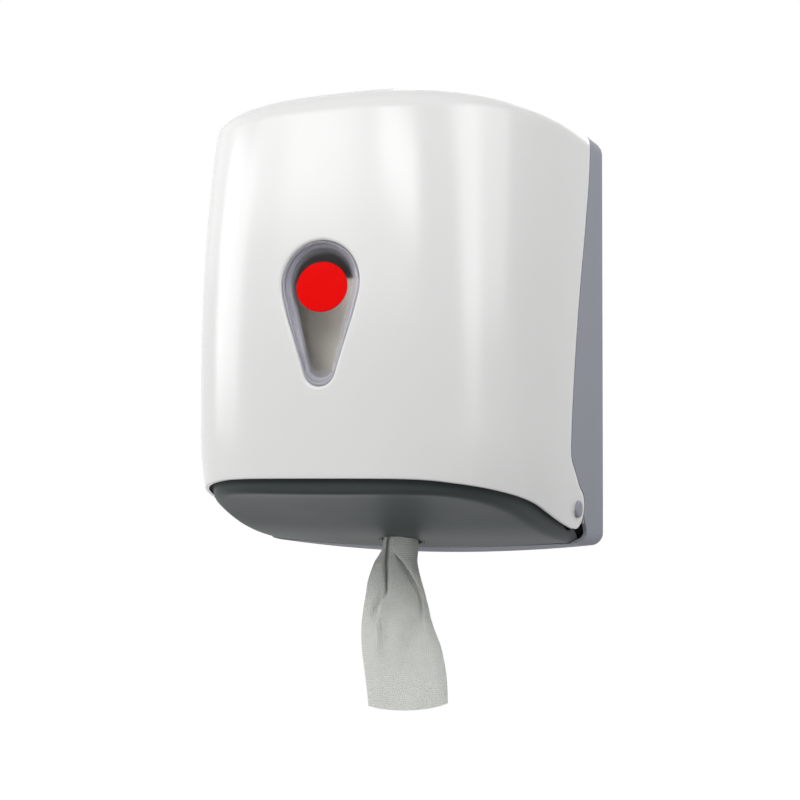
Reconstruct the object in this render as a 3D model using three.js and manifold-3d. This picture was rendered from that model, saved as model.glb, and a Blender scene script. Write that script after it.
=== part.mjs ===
// Wall-mounted centrefeed roll dispenser, in millimetres, +Z up.
// The wall plane is Y = 0 and the front faces -Y. The origin is on the wall face, on the centre line,
// level with the two lower corners of the housing.
// A grey housing is screwed to the wall and carries the tray, the outlet nozzle and the roll.
// A white cover turns forwards on two pins near the bottom and is locked from its top.
import * as THREE from "three";
import { mergeVertices } from "three/addons/utils/BufferGeometryUtils.js";
import Module from "manifold-3d";

const wasm = await Module();
wasm.setup();

// Driving dimensions of the outer form
const half_width = 142;
const depth = 225;
const height = 334;
const plan_power = 3.6; // how square the plan outline is: 2 is an ellipse
const plan_power_top = 2.85;
const shoulder_start = 125; // above this height the plan outline rounds off and leans back
const shoulder_lean = 13;
const tuck_start = 88; // below this height the sides draw in towards the front
const tuck_in = 25;
const top_round_run = 50;
const top_round_rise = 21;

// Walls and clearances
const cover_wall = 2.6;
const housing_wall = 2.8;
const tray_wall = 2.6;
const fit_gap = 0.3; // between pieces that touch
const seam_gap = 0.8; // between the cover's rear edge and the housing
const tray_inset = 5.2; // from the outer form to the tray's outer face
const tray_rise = 3.6; // how far the tray's rim stands up inside the cover's lower edge
const cut_over = 20; // how far cutting solids run past what they cut

// Underside of the housing and tray
const corner_radius = 9;

// Hinge
const pin_out_share = 0.2733; // of depth
const pin_height_share = 0.091; // of height
const lug_radius = 15.6;
const lug_clearance = 0.7;
const pin_head_radius = 6.5;
const pin_head_height = 3;
const pin_radius = 4;
const pin_hole_clearance = 0.3;
const clip_wall = 1;
const clip_radius = 6.5;
const clip_mouth_share = 0.8; // of the pin's neck
const groove_depth = 0.8;
const boss_depth = 3.3; // from the cover's inner face at the pin to the boss's flat face
const ear_wall = 3;
const ear_gap = 0.6; // between the cover's boss and the housing's ear
const ear_radius = 11.5;
const ear_root_out = 20; // how far out from the wall the ear begins
const ear_rib_wall = 3;

// Window
const window_height_share = 0.5674; // of height, up to the big circle of the drop outline
const window_radius = 30.2;
const window_tip_radius = 10;
const window_drop = 61.9; // from the big circle's centre down to the small one's
const window_lip = 1.6;
const lens_face_depth = 0.9;
const lens_pane_depth = 4.6;
const lens_pane_wall = 1.8;
const lens_rim_width = 6.8;
const lens_rim_edge = 1;
const lens_pocket_share = 1.25; // of the pane's depth, how deep its cutter runs
const lens_flange_width = 4.5;
const lens_flange_wall = 1.8;
const badge_half_width = 19.8;
const badge_half_height = 17.6;
const badge_drop = 2.1; // below the big circle's centre
const badge_wall = 0.3;

// Roll, outlet and tail
const roll_front_room = 38; // from the roll out to the front of the outer form
const roll_back_gap = 1.2; // from the roll back to the housing's ribs
const roll_bore_radius = 30;
const roll_height = 148;
const roll_edge_round = 2.5;
const roll_floor_z = 50;
const outlet_back = 21; // from the roll's axis back to the outlet's
const outlet_bore_radius = 16;
const outlet_mouth_radius = 21;
const nozzle_wall = 2;
const nozzle_flange_radius = 25;
const nozzle_flange_wall = 2.4;
const nozzle_proud = 0.6;
const nozzle_seat_z = 16;
const tail_top_z = 62;
const tail_bottom_z = -129;
const tail_wall = 0.9;
const tail_hem_rise = 6; // of the lower corners
const tail_folds = 2.6;
const tail_phase_share = 0.08; // of a fold
const tail_rows = 16;
const tail_columns = 22;

// Lock
const lock_y = -52;
const lock_flange_radius = 11;
const lock_flange_height = 1.6;
const lock_barrel_radius = 8.5;
const lock_barrel_length = 19;
const lock_nut_radius = 12.5;
const lock_nut_wall = 4;
const lock_washer_radius = 13;
const lock_washer_wall = 1;
const plug_radius = 6;
const plug_tail_radius = 3;
const plug_recess = 0.4;
const barrel_floor = 2;
const key_slot_length = 8;
const key_slot_width = 1.6;
const key_slot_depth = 3;
const cam_wall = 2;
const cam_width = 11;
const cam_reach = 27;
const cam_gap = 0.4;
const cam_hub_wall = 2;
const cam_screw_length = 8;
const strike_x = 15; // inner edge of the strike's lip
const strike_width = 20;
const strike_wall = 2;
const strike_lip_gap = 3.5;
const strike_gap = 2; // below the cam
const strike_lip_over = 1; // how far the lip stands above the cam
const strike_flange_height = 26;
const strike_screw_short = 1; // from the strike screws' ends to the housing's back face

// Screws
const screw_radius = 1.7;
const screw_hole_radius = 2;
const screw_head_radius = 3.6;
const screw_head_height = 2.2;
const screw_head_top_share = 0.8; // of the head's radius
const screw_length = 10;
const driver_width = 1.1;
const driver_length = 4.2;
const driver_depth = 1.2;

// Housing details
const post_radius = 4.5;
const tray_ear_width = 15;
const tray_ear_wall = 2.6;
const tray_ear_z = 19;
const tray_screw_y = -30;
const tray_screw_x_shares = [-0.72, -0.3, 0.3, 0.72]; // of half_width
const wall_hole_radius = 3;
const wall_hole_x_shares = [-0.6, 0.6]; // of half_width
const wall_hole_z_shares = [0.2, 0.82]; // of height
const back_rib_x_shares = [-0.46, -0.16, 0.16, 0.46]; // of half_width
const back_rib_z_shares = [0.14, 0.8]; // of height
const back_rib_wall = 2.4;
const back_rib_depth = 3;
const roll_rib_wall = 2.4;
const roll_rib_count = 6;
const roll_ring_radius = 62;

// Arcs about the hinge pin, in degrees from straight back to the wall
const cover_lug_arc = [-96, 72];
const housing_lug_arc = [60, -18];
const tray_lug_arc = [-150, -60];
const ear_arc = [-90, -270];
const arc_step = 12;

// Fineness of round and curved faces
const big_sides = 32;
const pin_sides = 24;
const hole_sides = 16;
const screw_sides = 10;
const roll_sides = 48;
const plan_steps = 10;
const plan_crowding = 1.5; // draws the plan outline's points towards its corners
const wall_rows = 7;
const round_rows = 4;
const under_rows = 10;
const under_columns = 16;
const rear_edge_steps = 34;
const lower_edge_steps = 22;
const drop_steps = 8;
const badge_steps = 16;
const weld_distance = 1e-4;

// Places that follow from the sizes
const pin_y = -pin_out_share * depth;
const pin_z = pin_height_share * height;
const window_z = window_height_share * height;
const badge_z = window_z - badge_drop;
const roll_back_room = housing_wall + back_rib_depth + roll_back_gap;
const roll_radius = (depth - roll_front_room - roll_back_room) / 2;
const roll_y = -roll_back_room - roll_radius;
const outlet_y = roll_y + outlet_back;

const materials = {
  white: new THREE.MeshStandardMaterial({ color: 0xe9e9e7, roughness: 0.28, metalness: 0 }),
  grey: new THREE.MeshStandardMaterial({ color: 0x8f929e, roughness: 0.5, metalness: 0 }),
  dark_grey: new THREE.MeshStandardMaterial({ color: 0x5c6468, roughness: 0.5, metalness: 0 }),
  clear: new THREE.MeshStandardMaterial({
    color: 0xd7dadf, roughness: 0.06, metalness: 0, transparent: true, opacity: 0.35,
  }),
  red: new THREE.MeshStandardMaterial({ color: 0xe8120c, roughness: 0.4, metalness: 0 }),
  paper: new THREE.MeshStandardMaterial({ color: 0xd8d9cf, roughness: 0.95, metalness: 0 }),
  steel: new THREE.MeshStandardMaterial({ color: 0xb9bcc0, roughness: 0.3, metalness: 1 }),
};

const clamp01 = (v) => Math.min(1, Math.max(0, v));

// Booleans

function solid(geometry) {
  const g = geometry.clone();
  g.deleteAttribute("normal");
  g.deleteAttribute("uv");
  const merged = mergeVertices(g, weld_distance);
  return new wasm.Manifold(
    new wasm.Mesh({
      numProp: 3,
      vertProperties: new Float32Array(merged.attributes.position.array),
      triVerts: new Uint32Array(merged.index.array),
    }),
  );
}

function geometry_of(manifold) {
  const mesh = manifold.getMesh();
  const g = new THREE.BufferGeometry();
  g.setAttribute("position", new THREE.BufferAttribute(new Float32Array(mesh.vertProperties), 3));
  g.setIndex(new THREE.BufferAttribute(new Uint32Array(mesh.triVerts), 1));
  g.computeVertexNormals();
  return g;
}

const dispenser = new THREE.Group();

function add_piece(name, manifold, material) {
  const mesh = new THREE.Mesh(geometry_of(manifold), material);
  mesh.name = name;
  dispenser.add(mesh);
}

// Rings of points with the same count, stacked from the first to the last and closed by flat fans.
function loft(rings) {
  const count = rings[0].length;
  const positions = rings.flat().flatMap((p) => [p.x, p.y, p.z]);
  const faces = [];
  for (let r = 0; r + 1 < rings.length; r++)
    for (let i = 0; i < count; i++) {
      const a = r * count + i;
      const b = r * count + ((i + 1) % count);
      faces.push(a, b, b + count, a, b + count, a + count);
    }
  const last = (rings.length - 1) * count;
  for (const [ring, start, flip] of [
    [rings[0], 0, true],
    [rings[rings.length - 1], last, false],
  ]) {
    const outline = ring.map((p) => new THREE.Vector2(p.x, p.y));
    for (const [a, b, c] of THREE.ShapeUtils.triangulateShape(outline, []))
      faces.push(...(flip ? [start + c, start + b, start + a] : [start + a, start + b, start + c]));
  }
  const g = new THREE.BufferGeometry();
  g.setAttribute("position", new THREE.Float32BufferAttribute(positions, 3));
  g.setIndex(faces);
  return solid(g);
}

function box(x0, x1, y0, y1, z0, z1) {
  const g = new THREE.BoxGeometry(x1 - x0, y1 - y0, z1 - z0);
  g.translate((x0 + x1) / 2, (y0 + y1) / 2, (z0 + z1) / 2);
  return solid(g);
}

// Upright cylinder, or cone if the radii differ.
function cylinder_z(x, y, z0, z1, radius, sides = pin_sides, top_radius = radius) {
  const g = new THREE.CylinderGeometry(top_radius, radius, z1 - z0, sides);
  g.rotateX(Math.PI / 2);
  g.translate(x, y, (z0 + z1) / 2);
  return solid(g);
}

function cylinder_x(x0, x1, y, z, radius, sides = pin_sides) {
  const g = new THREE.CylinderGeometry(radius, radius, x1 - x0, sides);
  g.rotateZ(Math.PI / 2);
  g.translate((x0 + x1) / 2, y, z);
  return solid(g);
}

function cylinder_y(x, y0, y1, z, radius, sides = hole_sides) {
  const g = new THREE.CylinderGeometry(radius, radius, y1 - y0, sides);
  g.translate(x, (y0 + y1) / 2, z);
  return solid(g);
}

// A side profile, given as [distance from the wall, height] points, run across the whole width.
function side_profile(points) {
  const shape = new THREE.Shape(points.map(([out, z]) => new THREE.Vector2(-out, z)));
  const span = 2 * (half_width + cut_over);
  const g = new THREE.ExtrudeGeometry(shape, { depth: span, bevelEnabled: false });
  g.applyMatrix4(
    new THREE.Matrix4().makeBasis(
      new THREE.Vector3(0, 1, 0), new THREE.Vector3(0, 0, 1), new THREE.Vector3(1, 0, 0),
    ),
  );
  g.translate(-span / 2, 0, 0);
  return solid(g);
}

const mirrored = (manifold) => manifold.mirror([1, 0, 0]);
const union = (list) => list.reduce((sum, one) => sum.add(one));

// Outer form

// Half width of the outer form at a distance out from the wall, drawn in by inset.
function plan_size(z, inset) {
  const lift = clamp01((z - shoulder_start) / (height - shoulder_start)) ** 2;
  const tuck = clamp01((tuck_start - z) / tuck_start) ** 2;
  return {
    power: plan_power + (plan_power_top - plan_power) * lift,
    reach: depth - shoulder_lean * lift - inset,
    tuck: tuck_in * tuck,
  };
}

function half_width_at(out, z, inset = 0) {
  const { power, reach, tuck } = plan_size(z, inset);
  const share = clamp01(out / reach);
  return (half_width - inset - tuck * share) * (1 - share ** power) ** (1 / power);
}

// Plan outline from the wall on the left, round the front, to the wall on the right.
function plan_ring(z, inset) {
  const { power, reach, tuck } = plan_size(z, inset);
  const right = [];
  for (let i = 0; i <= plan_steps; i++) {
    const u = i / plan_steps;
    const eased = u ** plan_crowding / (u ** plan_crowding + (1 - u) ** plan_crowding);
    const angle = (eased * Math.PI) / 2;
    const share = Math.sin(angle) ** (2 / power);
    const x = (half_width - inset - tuck * share) * Math.cos(angle) ** (2 / power);
    right.push(new THREE.Vector3(i === plan_steps ? 0 : x, -reach * share, z));
  }
  const left = right.slice(0, -1).map((p) => new THREE.Vector3(-p.x, p.y, p.z));
  return [...left, ...right.reverse()];
}

// The whole outer form, drawn in all round by inset, from far below up to its rounded top.
function outer_form(inset) {
  const rings = [];
  const wall_top = height - top_round_rise;
  const low = -2 * cut_over;
  rings.push(plan_ring(0, inset).map((p) => p.clone().setZ(low)));
  for (let i = 0; i <= wall_rows; i++) rings.push(plan_ring((wall_top * i) / wall_rows, inset));
  for (let i = 1; i <= round_rows; i++) {
    const angle = (i / round_rows) * (Math.PI / 2);
    const run = (top_round_run - inset) * (1 - Math.cos(angle));
    const rise = (top_round_rise - inset) * Math.sin(angle);
    rings.push(plan_ring(wall_top + rise, inset + run));
  }
  return loft(rings);
}

// Underside: heights by distance out from the wall, at the sides, and how far the middle hangs lower.
const under_out_shares = [0, 0.13, 0.34, 0.5, 0.67, 0.82, 0.93, 1.1]; // of depth
const under_side_shares = [0.004, 0.008, 0.027, 0.051, 0.087, 0.114, 0.127, 0.134]; // of height
const under_bow_shares = [0.026, 0.024, 0.012, 0.01, 0.009, 0.006, 0.003, 0.001]; // of height
function curve_of(values) {
  const points = under_out_shares.map((share, i) => new THREE.Vector2(share * depth, values[i] * height));
  return new THREE.SplineCurve(points);
}
const under_side_curve = curve_of(under_side_shares);
const under_bow_curve = curve_of(under_bow_shares);

// Everything above the underside, lifted by rise, with its long edges rounded where they meet the
// sides of the outer form drawn in by inset.
function above_underside(rise, inset) {
  const far = half_width + cut_over;
  const rows = [];
  for (let r = 0; r <= under_rows; r++) {
    const side = under_side_curve.getPoint(r / under_rows);
    const bow = under_bow_curve.getPoint(r / under_rows).y;
    const out = side.x;
    const radius = Math.max(corner_radius - rise, corner_radius / 4) * (1 - clamp01(out / depth) / 2);
    const wide = Math.max(half_width_at(out, side.y + radius, inset), half_width / 4);
    const row = [];
    for (let c = 0; c <= under_columns; c++) {
      const x = wide * Math.sin((c / under_columns - 1 / 2) * Math.PI);
      const past = Math.max(Math.abs(x) - (wide - radius), 0);
      const corner = radius - Math.sqrt(Math.max(radius ** 2 - past ** 2, 0));
      const z = side.y - bow * (1 - (x / wide) ** 2) + corner + rise;
      row.push(new THREE.Vector3(x, -out, z));
    }
    const beside = (p, x) => new THREE.Vector3(x, p.y, p.z);
    rows.push([beside(row[0], -far), ...row, beside(row[row.length - 1], far)]);
  }
  const first = rows[0].map((p) => p.clone().setY(cut_over));
  const rings = [first, ...rows].map((row) => {
    const above = (p) => p.clone().setZ(height + cut_over);
    return [...row, above(row[row.length - 1]), above(row[0])];
  });
  const turned = rings.map((ring) => ring.map((p) => new THREE.Vector3(p.x, p.z, -p.y)));
  return loft(turned).rotate([90, 0, 0]);
}

// Side profiles

const lower_edge_shares = [
  [0.29, 0.0461], [0.4, 0.0638], [0.5, 0.084], [0.595, 0.105], [0.68, 0.1195], [0.79, 0.1345],
  [0.91, 0.15], [1, 0.1605], [1.2, 0.163],
]; // of depth and height
const rear_edge_shares = [
  [0.276, 0.146], [0.3, 0.1625], [0.33, 0.181], [0.362, 0.201], [0.3745, 0.226], [0.3725, 0.26],
  [0.3635, 0.31], [0.343, 0.395], [0.31, 0.505], [0.268, 0.615], [0.216, 0.733], [0.17, 0.85],
  [0.1505, 0.945], [0.148, 1.1],
]; // of depth and height
const edge_curve = (shares) =>
  new THREE.SplineCurve(shares.map(([out, z]) => new THREE.Vector2(out * depth, z * height)));
const lower_edge = edge_curve(lower_edge_shares);
const rear_edge = edge_curve(rear_edge_shares);

// Points of a circle about the hinge pin, by angle from straight back to the wall, anticlockwise
// when the wall is on the left.
function pin_arc(radius, [from, to]) {
  const points = [];
  const steps = Math.round(Math.abs(to - from) / arc_step);
  for (let i = 0; i <= steps; i++) {
    const angle = ((from + ((to - from) * i) / steps) * Math.PI) / 180;
    points.push([-pin_y - radius * Math.cos(angle), pin_z + radius * Math.sin(angle)]);
  }
  return points;
}
const edge_points = (curve, steps, shift) =>
  curve.getPoints(steps).map((p) => [p.x - shift, p.y]);

const cover_profile = side_profile([
  ...pin_arc(lug_radius, cover_lug_arc),
  ...edge_points(rear_edge, rear_edge_steps, 0),
  [depth + 2 * cut_over, height + 2 * cut_over],
  ...edge_points(lower_edge, lower_edge_steps, 0).reverse(),
]);

// Foot of the housing's side, below the lug, and the seam it shares with the tray.
const seam_shares = [
  [0.186, 0.06], [0.163, 0.036], [0.168, 0.02], [0.19, 0.009], [0.214, 0.002], [0.226, -0.06],
]; // of depth and height
const seam_points = (shift) => seam_shares.map(([out, z]) => [out * depth + shift, z * height]);
const seam_foot_out = seam_shares[seam_shares.length - 1][0] * depth;
const housing_profile = side_profile([
  [-cut_over, -2 * cut_over],
  [-cut_over, height + 2 * cut_over],
  ...edge_points(rear_edge, rear_edge_steps, seam_gap).reverse(),
  ...pin_arc(lug_radius + lug_clearance, housing_lug_arc),
  ...seam_points(0),
  [seam_foot_out, -2 * cut_over],
]);

const tray_back_out = seam_foot_out + 2 * fit_gap;
const tray_profile = side_profile([
  ...seam_points(2 * fit_gap).slice(2),
  [tray_back_out, -2 * cut_over],
  [depth + cut_over, -2 * cut_over],
  ...lower_edge
    .getPoints(lower_edge_steps)
    .filter((p) => p.x > -pin_y + lug_radius + 2 * lug_clearance)
    .map((p) => [p.x, p.y + tray_rise])
    .reverse(),
  ...pin_arc(lug_radius + lug_clearance, tray_lug_arc),
]);

// Housing

const outer = outer_form(0);

function wall_screw_holes() {
  const holes = [];
  for (const x of wall_hole_x_shares)
    for (const z of wall_hole_z_shares)
      holes.push(cylinder_y(x * half_width, -cut_over, cut_over, z * height, wall_hole_radius));
  return union(holes);
}

function back_ribs() {
  const [bottom, top] = back_rib_z_shares.map((share) => share * height);
  return back_rib_x_shares.map((share) => {
    const x = share * half_width;
    const wall = back_rib_wall / 2;
    return box(x - wall, x + wall, -housing_wall - back_rib_depth, -housing_wall / 2, bottom, top);
  });
}

const tray_screw_xs = tray_screw_x_shares.map((share) => share * half_width);
const post_top_z = tray_ear_z - tray_ear_wall - fit_gap;

function screw_posts() {
  const posts = tray_screw_xs.map((x) =>
    cylinder_z(x, tray_screw_y, -cut_over, post_top_z, post_radius, hole_sides),
  );
  return union(posts).intersect(above_underside(housing_wall / 2, 0));
}

function screw_post_bores() {
  return union(
    tray_screw_xs.map((x) =>
      cylinder_z(
        x, tray_screw_y, tray_ear_z - screw_length - fit_gap, cut_over + tray_ear_z,
        screw_radius + fit_gap, screw_sides,
      ),
    ),
  );
}

// The cover's boss has a flat face against the ear, a flat plate that stands on two ribs of the
// housing's side wall and carries the hinge pin.
const boss_face_x = half_width_at(-pin_y, pin_z, cover_wall) - boss_depth;
const ear_outer_x = boss_face_x - ear_gap;
const ear_inner_x = ear_outer_x - ear_wall;

function hinge_ears() {
  const foot_end = -pin_y - lug_radius - lug_clearance - ear_rib_wall;
  const plate = side_profile([
    ...pin_arc(ear_radius, ear_arc),
    [ear_root_out, pin_z + ear_radius],
    [ear_root_out, pin_z - ear_radius],
  ]).intersect(box(ear_inner_x, ear_outer_x, -depth, 0, 0, height));
  const ribs = [ear_root_out, foot_end].map((out) =>
    box(
      ear_inner_x, half_width, -out - ear_rib_wall, -out,
      pin_z - ear_radius, pin_z + ear_radius,
    ).intersect(outer_form(housing_wall / 2)),
  );
  const right = union([plate, ...ribs]);
  return right.add(mirrored(right));
}

// Places along the hinge pins, out from the centre line
const pin_seat_x = half_width_at(-pin_y, pin_z) - fit_gap;
const clip_x = ear_inner_x - fit_gap;
const pin_end_x = clip_x - 3 * clip_wall;

function pin_holes(radius) {
  const reach = half_width + cut_over;
  return cylinder_x(-reach, reach, pin_y, pin_z, radius);
}

const cam_top_z = height - lock_barrel_length - cam_gap;
const strike_arm_top_z = cam_top_z - cam_wall - strike_gap;
const strike_arm_low_z = strike_arm_top_z - strike_wall;
const strike_screw_z = strike_arm_low_z - strike_flange_height / 2;
const strike_screw_x = strike_x + strike_width / 2;
const strike_screw_step = strike_flange_height / 4;

function rear_housing() {
  const inner = outer_form(housing_wall)
    .intersect(above_underside(housing_wall, housing_wall))
    .subtract(box(-half_width, half_width, -housing_wall, cut_over, -2 * cut_over, 2 * height));
  const shell = outer
    .intersect(above_underside(0, 0))
    .subtract(inner)
    .intersect(housing_profile);
  const strike_bores = [-1, 1].map((side) =>
    cylinder_y(
      strike_screw_x, -cut_over, -housing_wall / 4,
      strike_screw_z + side * strike_screw_step, screw_radius + fit_gap, screw_sides,
    ),
  );
  return shell
    .add(union(back_ribs()))
    .add(screw_posts())
    .add(hinge_ears())
    .subtract(screw_post_bores())
    .subtract(wall_screw_holes())
    .subtract(union(strike_bores))
    .subtract(pin_holes(pin_radius + pin_hole_clearance));
}
add_piece("rear_housing", rear_housing(), materials.grey);

// Tray

function tray_ears() {
  return tray_screw_xs.map((x) => {
    const wide = tray_ear_width / 2;
    const ear = box(
      x - wide, x + wide, -tray_back_out - tray_wall, tray_screw_y + wide,
      tray_ear_z - tray_ear_wall, tray_ear_z,
    );
    const hole = cylinder_z(x, tray_screw_y, 0, 2 * tray_ear_z, screw_hole_radius, hole_sides);
    return ear.subtract(hole);
  });
}

// Ribs and a ring that the roll stands on, open round the outlet.
function roll_ribs() {
  const top = roll_floor_z - fit_gap;
  const wall = roll_rib_wall / 2;
  const inner = roll_bore_radius + roll_rib_wall;
  const rib = box(inner, roll_radius - roll_rib_wall, -wall, wall, -cut_over, top);
  const ribs = [];
  for (let i = 0; i < roll_rib_count; i++) ribs.push(rib.rotate([0, 0, (360 * i) / roll_rib_count]));
  const ring = cylinder_z(0, 0, -cut_over, top, roll_ring_radius + wall, big_sides).subtract(
    cylinder_z(0, 0, -2 * cut_over, 2 * top, roll_ring_radius - wall, big_sides),
  );
  return union([...ribs, ring]).translate([0, roll_y, 0]);
}

function tray() {
  const room = outer_form(tray_inset + tray_wall).intersect(
    above_underside(tray_wall, tray_inset + tray_wall),
  );
  const body = outer_form(tray_inset).intersect(above_underside(0, tray_inset));
  const back_end = Math.max(...tray_screw_xs) + tray_ear_width / 2;
  const back_wall = box(
    -back_end, back_end, -tray_back_out - tray_wall, -tray_back_out, -cut_over, tray_ear_z,
  );
  const seat = cylinder_z(
    0, outlet_y, -cut_over, nozzle_seat_z, nozzle_flange_radius + fit_gap, big_sides,
  );
  const roll_side = box(
    -half_width, half_width, -depth, -tray_back_out - tray_wall / 2, -cut_over, height,
  );
  const flange_room = cylinder_z(
    0, outlet_y, nozzle_seat_z, height, nozzle_flange_radius + 2 * fit_gap, big_sides,
  );
  const inside = union([back_wall, seat, roll_ribs().intersect(roll_side)])
    .subtract(flange_room)
    .intersect(body.intersect(outer_form(tray_inset + tray_wall / 2)));
  const bore = outlet_bore_radius + nozzle_wall + fit_gap;
  return body
    .subtract(room)
    .intersect(tray_profile)
    .add(inside)
    .add(union(tray_ears()))
    .subtract(cylinder_z(0, outlet_y, -cut_over, 2 * cut_over, bore, big_sides));
}
add_piece("bottom_tray", tray(), materials.dark_grey);

// Outlet nozzle: a funnel that drops into the tray from above and ends just below its underside.
function nozzle() {
  const top = nozzle_seat_z + fit_gap + nozzle_flange_wall;
  const rise = (z0, z1, radius, top_radius) =>
    cylinder_z(0, outlet_y, z0, z1, radius, big_sides, top_radius);
  const flange = rise(nozzle_seat_z + fit_gap, top, nozzle_flange_radius);
  const barrel = rise(-cut_over, nozzle_seat_z + nozzle_flange_wall, outlet_bore_radius + nozzle_wall);
  const funnel = rise(nozzle_seat_z, top + fit_gap, outlet_bore_radius, outlet_mouth_radius);
  const bore = rise(-2 * cut_over, nozzle_seat_z + fit_gap, outlet_bore_radius);
  return flange
    .add(barrel.intersect(above_underside(-nozzle_proud, 0)))
    .subtract(funnel)
    .subtract(bore);
}
add_piece("outlet_nozzle", nozzle(), materials.dark_grey);

// Cover

// Drop outline: a big circle and a small one below it, joined by their tangents.
function drop_shape(offset) {
  const big = window_radius + offset;
  const small = window_tip_radius + offset;
  const lean = Math.asin((window_radius - window_tip_radius) / window_drop);
  const shape = new THREE.Shape();
  shape.absarc(0, window_z, big, -lean, Math.PI + lean, false);
  shape.absarc(0, window_z - window_drop, small, Math.PI + lean, 2 * Math.PI - lean, false);
  return shape;
}

// The drop as a loft between two depths below the outer form's front, each with its own offset.
function drop_loft(deep0, offset0, deep1, offset1) {
  const ring = (deep, offset) =>
    drop_shape(offset)
      .getPoints(drop_steps)
      .slice(0, -1)
      .map((p) => new THREE.Vector3(p.x, p.y, plan_size(p.y, 0).reach - deep));
  return loft([ring(deep1, offset1), ring(deep0, offset0)]).rotate([90, 0, 0]);
}
const drop_prism = (offset) => drop_loft(-cut_over, offset, cut_over, offset);

function hinge_bosses() {
  const right = cylinder_x(
    boss_face_x, half_width, pin_y, pin_z, lug_radius - fit_gap, big_sides,
  ).intersect(outer_form(cover_wall / 2));
  return right.add(mirrored(right));
}

function cover() {
  const shell = outer.subtract(outer_form(cover_wall)).intersect(cover_profile);
  const lip_cut = drop_loft(-window_lip, 2 * window_lip, 2 * window_lip, -window_lip);
  const pin_seat = cylinder_x(
    pin_seat_x - fit_gap, half_width + cut_over, pin_y, pin_z, pin_head_radius + fit_gap, big_sides,
  );
  const lock_hole = cylinder_z(
    0, lock_y, height - cut_over, height + cut_over, lock_barrel_radius + fit_gap, big_sides,
  );
  return shell
    .add(hinge_bosses())
    .subtract(pin_holes(pin_radius + pin_hole_clearance))
    .subtract(pin_seat)
    .subtract(mirrored(pin_seat))
    .subtract(drop_prism(0))
    .subtract(lip_cut)
    .subtract(lock_hole);
}
add_piece("front_cover", cover(), materials.white);

// Window

function lens() {
  const plug = drop_prism(-fit_gap)
    .intersect(outer_form(lens_face_depth))
    .subtract(outer_form(lens_pane_depth + lens_pane_wall));
  const bevel = lens_rim_width - lens_rim_edge;
  const pocket = drop_loft(
    0, -lens_rim_edge, lens_pocket_share * lens_pane_depth, -lens_rim_edge - lens_pocket_share * bevel,
  ).subtract(outer_form(lens_pane_depth));
  const flange = drop_prism(lens_flange_width)
    .intersect(outer_form(cover_wall + fit_gap))
    .subtract(outer_form(cover_wall + fit_gap + lens_flange_wall))
    .subtract(drop_prism(-lens_rim_edge));
  return plug.subtract(pocket).add(flange);
}
add_piece("window_lens", lens(), materials.clear);

function badge() {
  const shape = new THREE.Shape();
  shape.absellipse(0, badge_z, badge_half_width, badge_half_height, 0, 2 * Math.PI, false, 0);
  const points = shape.getPoints(badge_steps).slice(0, -1);
  const ring = (y) => points.map((p) => new THREE.Vector3(p.x, p.y, -y));
  const seat = lens_pane_depth - fit_gap;
  return loft([ring(-depth + cut_over), ring(-depth - cut_over)])
    .rotate([90, 0, 0])
    .intersect(outer_form(seat - badge_wall))
    .subtract(outer_form(seat));
}
add_piece("window_badge", badge(), materials.red);

// Hinge pins: a round head outside the cover, and a shank through the boss and the ear.
function hinge_pin() {
  const head = cylinder_x(pin_seat_x, pin_seat_x + pin_head_height, pin_y, pin_z, pin_head_radius);
  const shank = cylinder_x(pin_end_x, pin_seat_x + pin_head_height / 2, pin_y, pin_z, pin_radius);
  const groove = cylinder_x(
    clip_x - clip_wall - fit_gap, clip_x + fit_gap, pin_y, pin_z, pin_radius + clip_wall,
  ).subtract(cylinder_x(pin_end_x, pin_seat_x, pin_y, pin_z, pin_radius - groove_depth));
  return head.add(shank).subtract(groove);
}

function pin_clip() {
  const disc = cylinder_x(clip_x - clip_wall, clip_x, pin_y, pin_z, clip_radius);
  const neck = pin_radius - groove_depth + fit_gap / 3;
  const hole = cylinder_x(clip_x - 2 * clip_wall, clip_x + clip_wall, pin_y, pin_z, neck);
  const mouth = box(
    clip_x - 2 * clip_wall, clip_x + clip_wall, pin_y - neck * clip_mouth_share,
    pin_y + neck * clip_mouth_share, pin_z, pin_z + 2 * clip_radius,
  );
  return disc.subtract(hole).subtract(mouth);
}

add_piece("hinge_pin_right", hinge_pin(), materials.grey);
add_piece("hinge_pin_left", mirrored(hinge_pin()), materials.grey);
add_piece("pin_clip_right", pin_clip(), materials.steel);
add_piece("pin_clip_left", mirrored(pin_clip()), materials.steel);

// Screws

function screw() {
  const head = cylinder_z(
    0, 0, 0, screw_head_height, screw_head_radius, hole_sides,
    screw_head_radius * screw_head_top_share,
  );
  const shank = cylinder_z(
    0, 0, -screw_length, screw_head_height / 2, screw_radius, screw_sides,
  );
  const slot = (turn) =>
    box(
      -driver_length / 2, driver_length / 2, -driver_width / 2, driver_width / 2,
      screw_head_height - driver_depth, 2 * screw_head_height,
    ).rotate([0, 0, turn]);
  return head.add(shank).subtract(slot(0)).subtract(slot(90));
}

tray_screw_xs.forEach((x, i) =>
  add_piece(
    "tray_screw_" + (i + 1),
    screw().translate([x, tray_screw_y, tray_ear_z + fit_gap / 2]),
    materials.steel,
  ),
);

// Lock, in the top of the cover

const barrel_bottom_z = height - lock_barrel_length;
const nut_top_z = height - cover_wall - fit_gap - lock_washer_wall - fit_gap;

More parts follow.
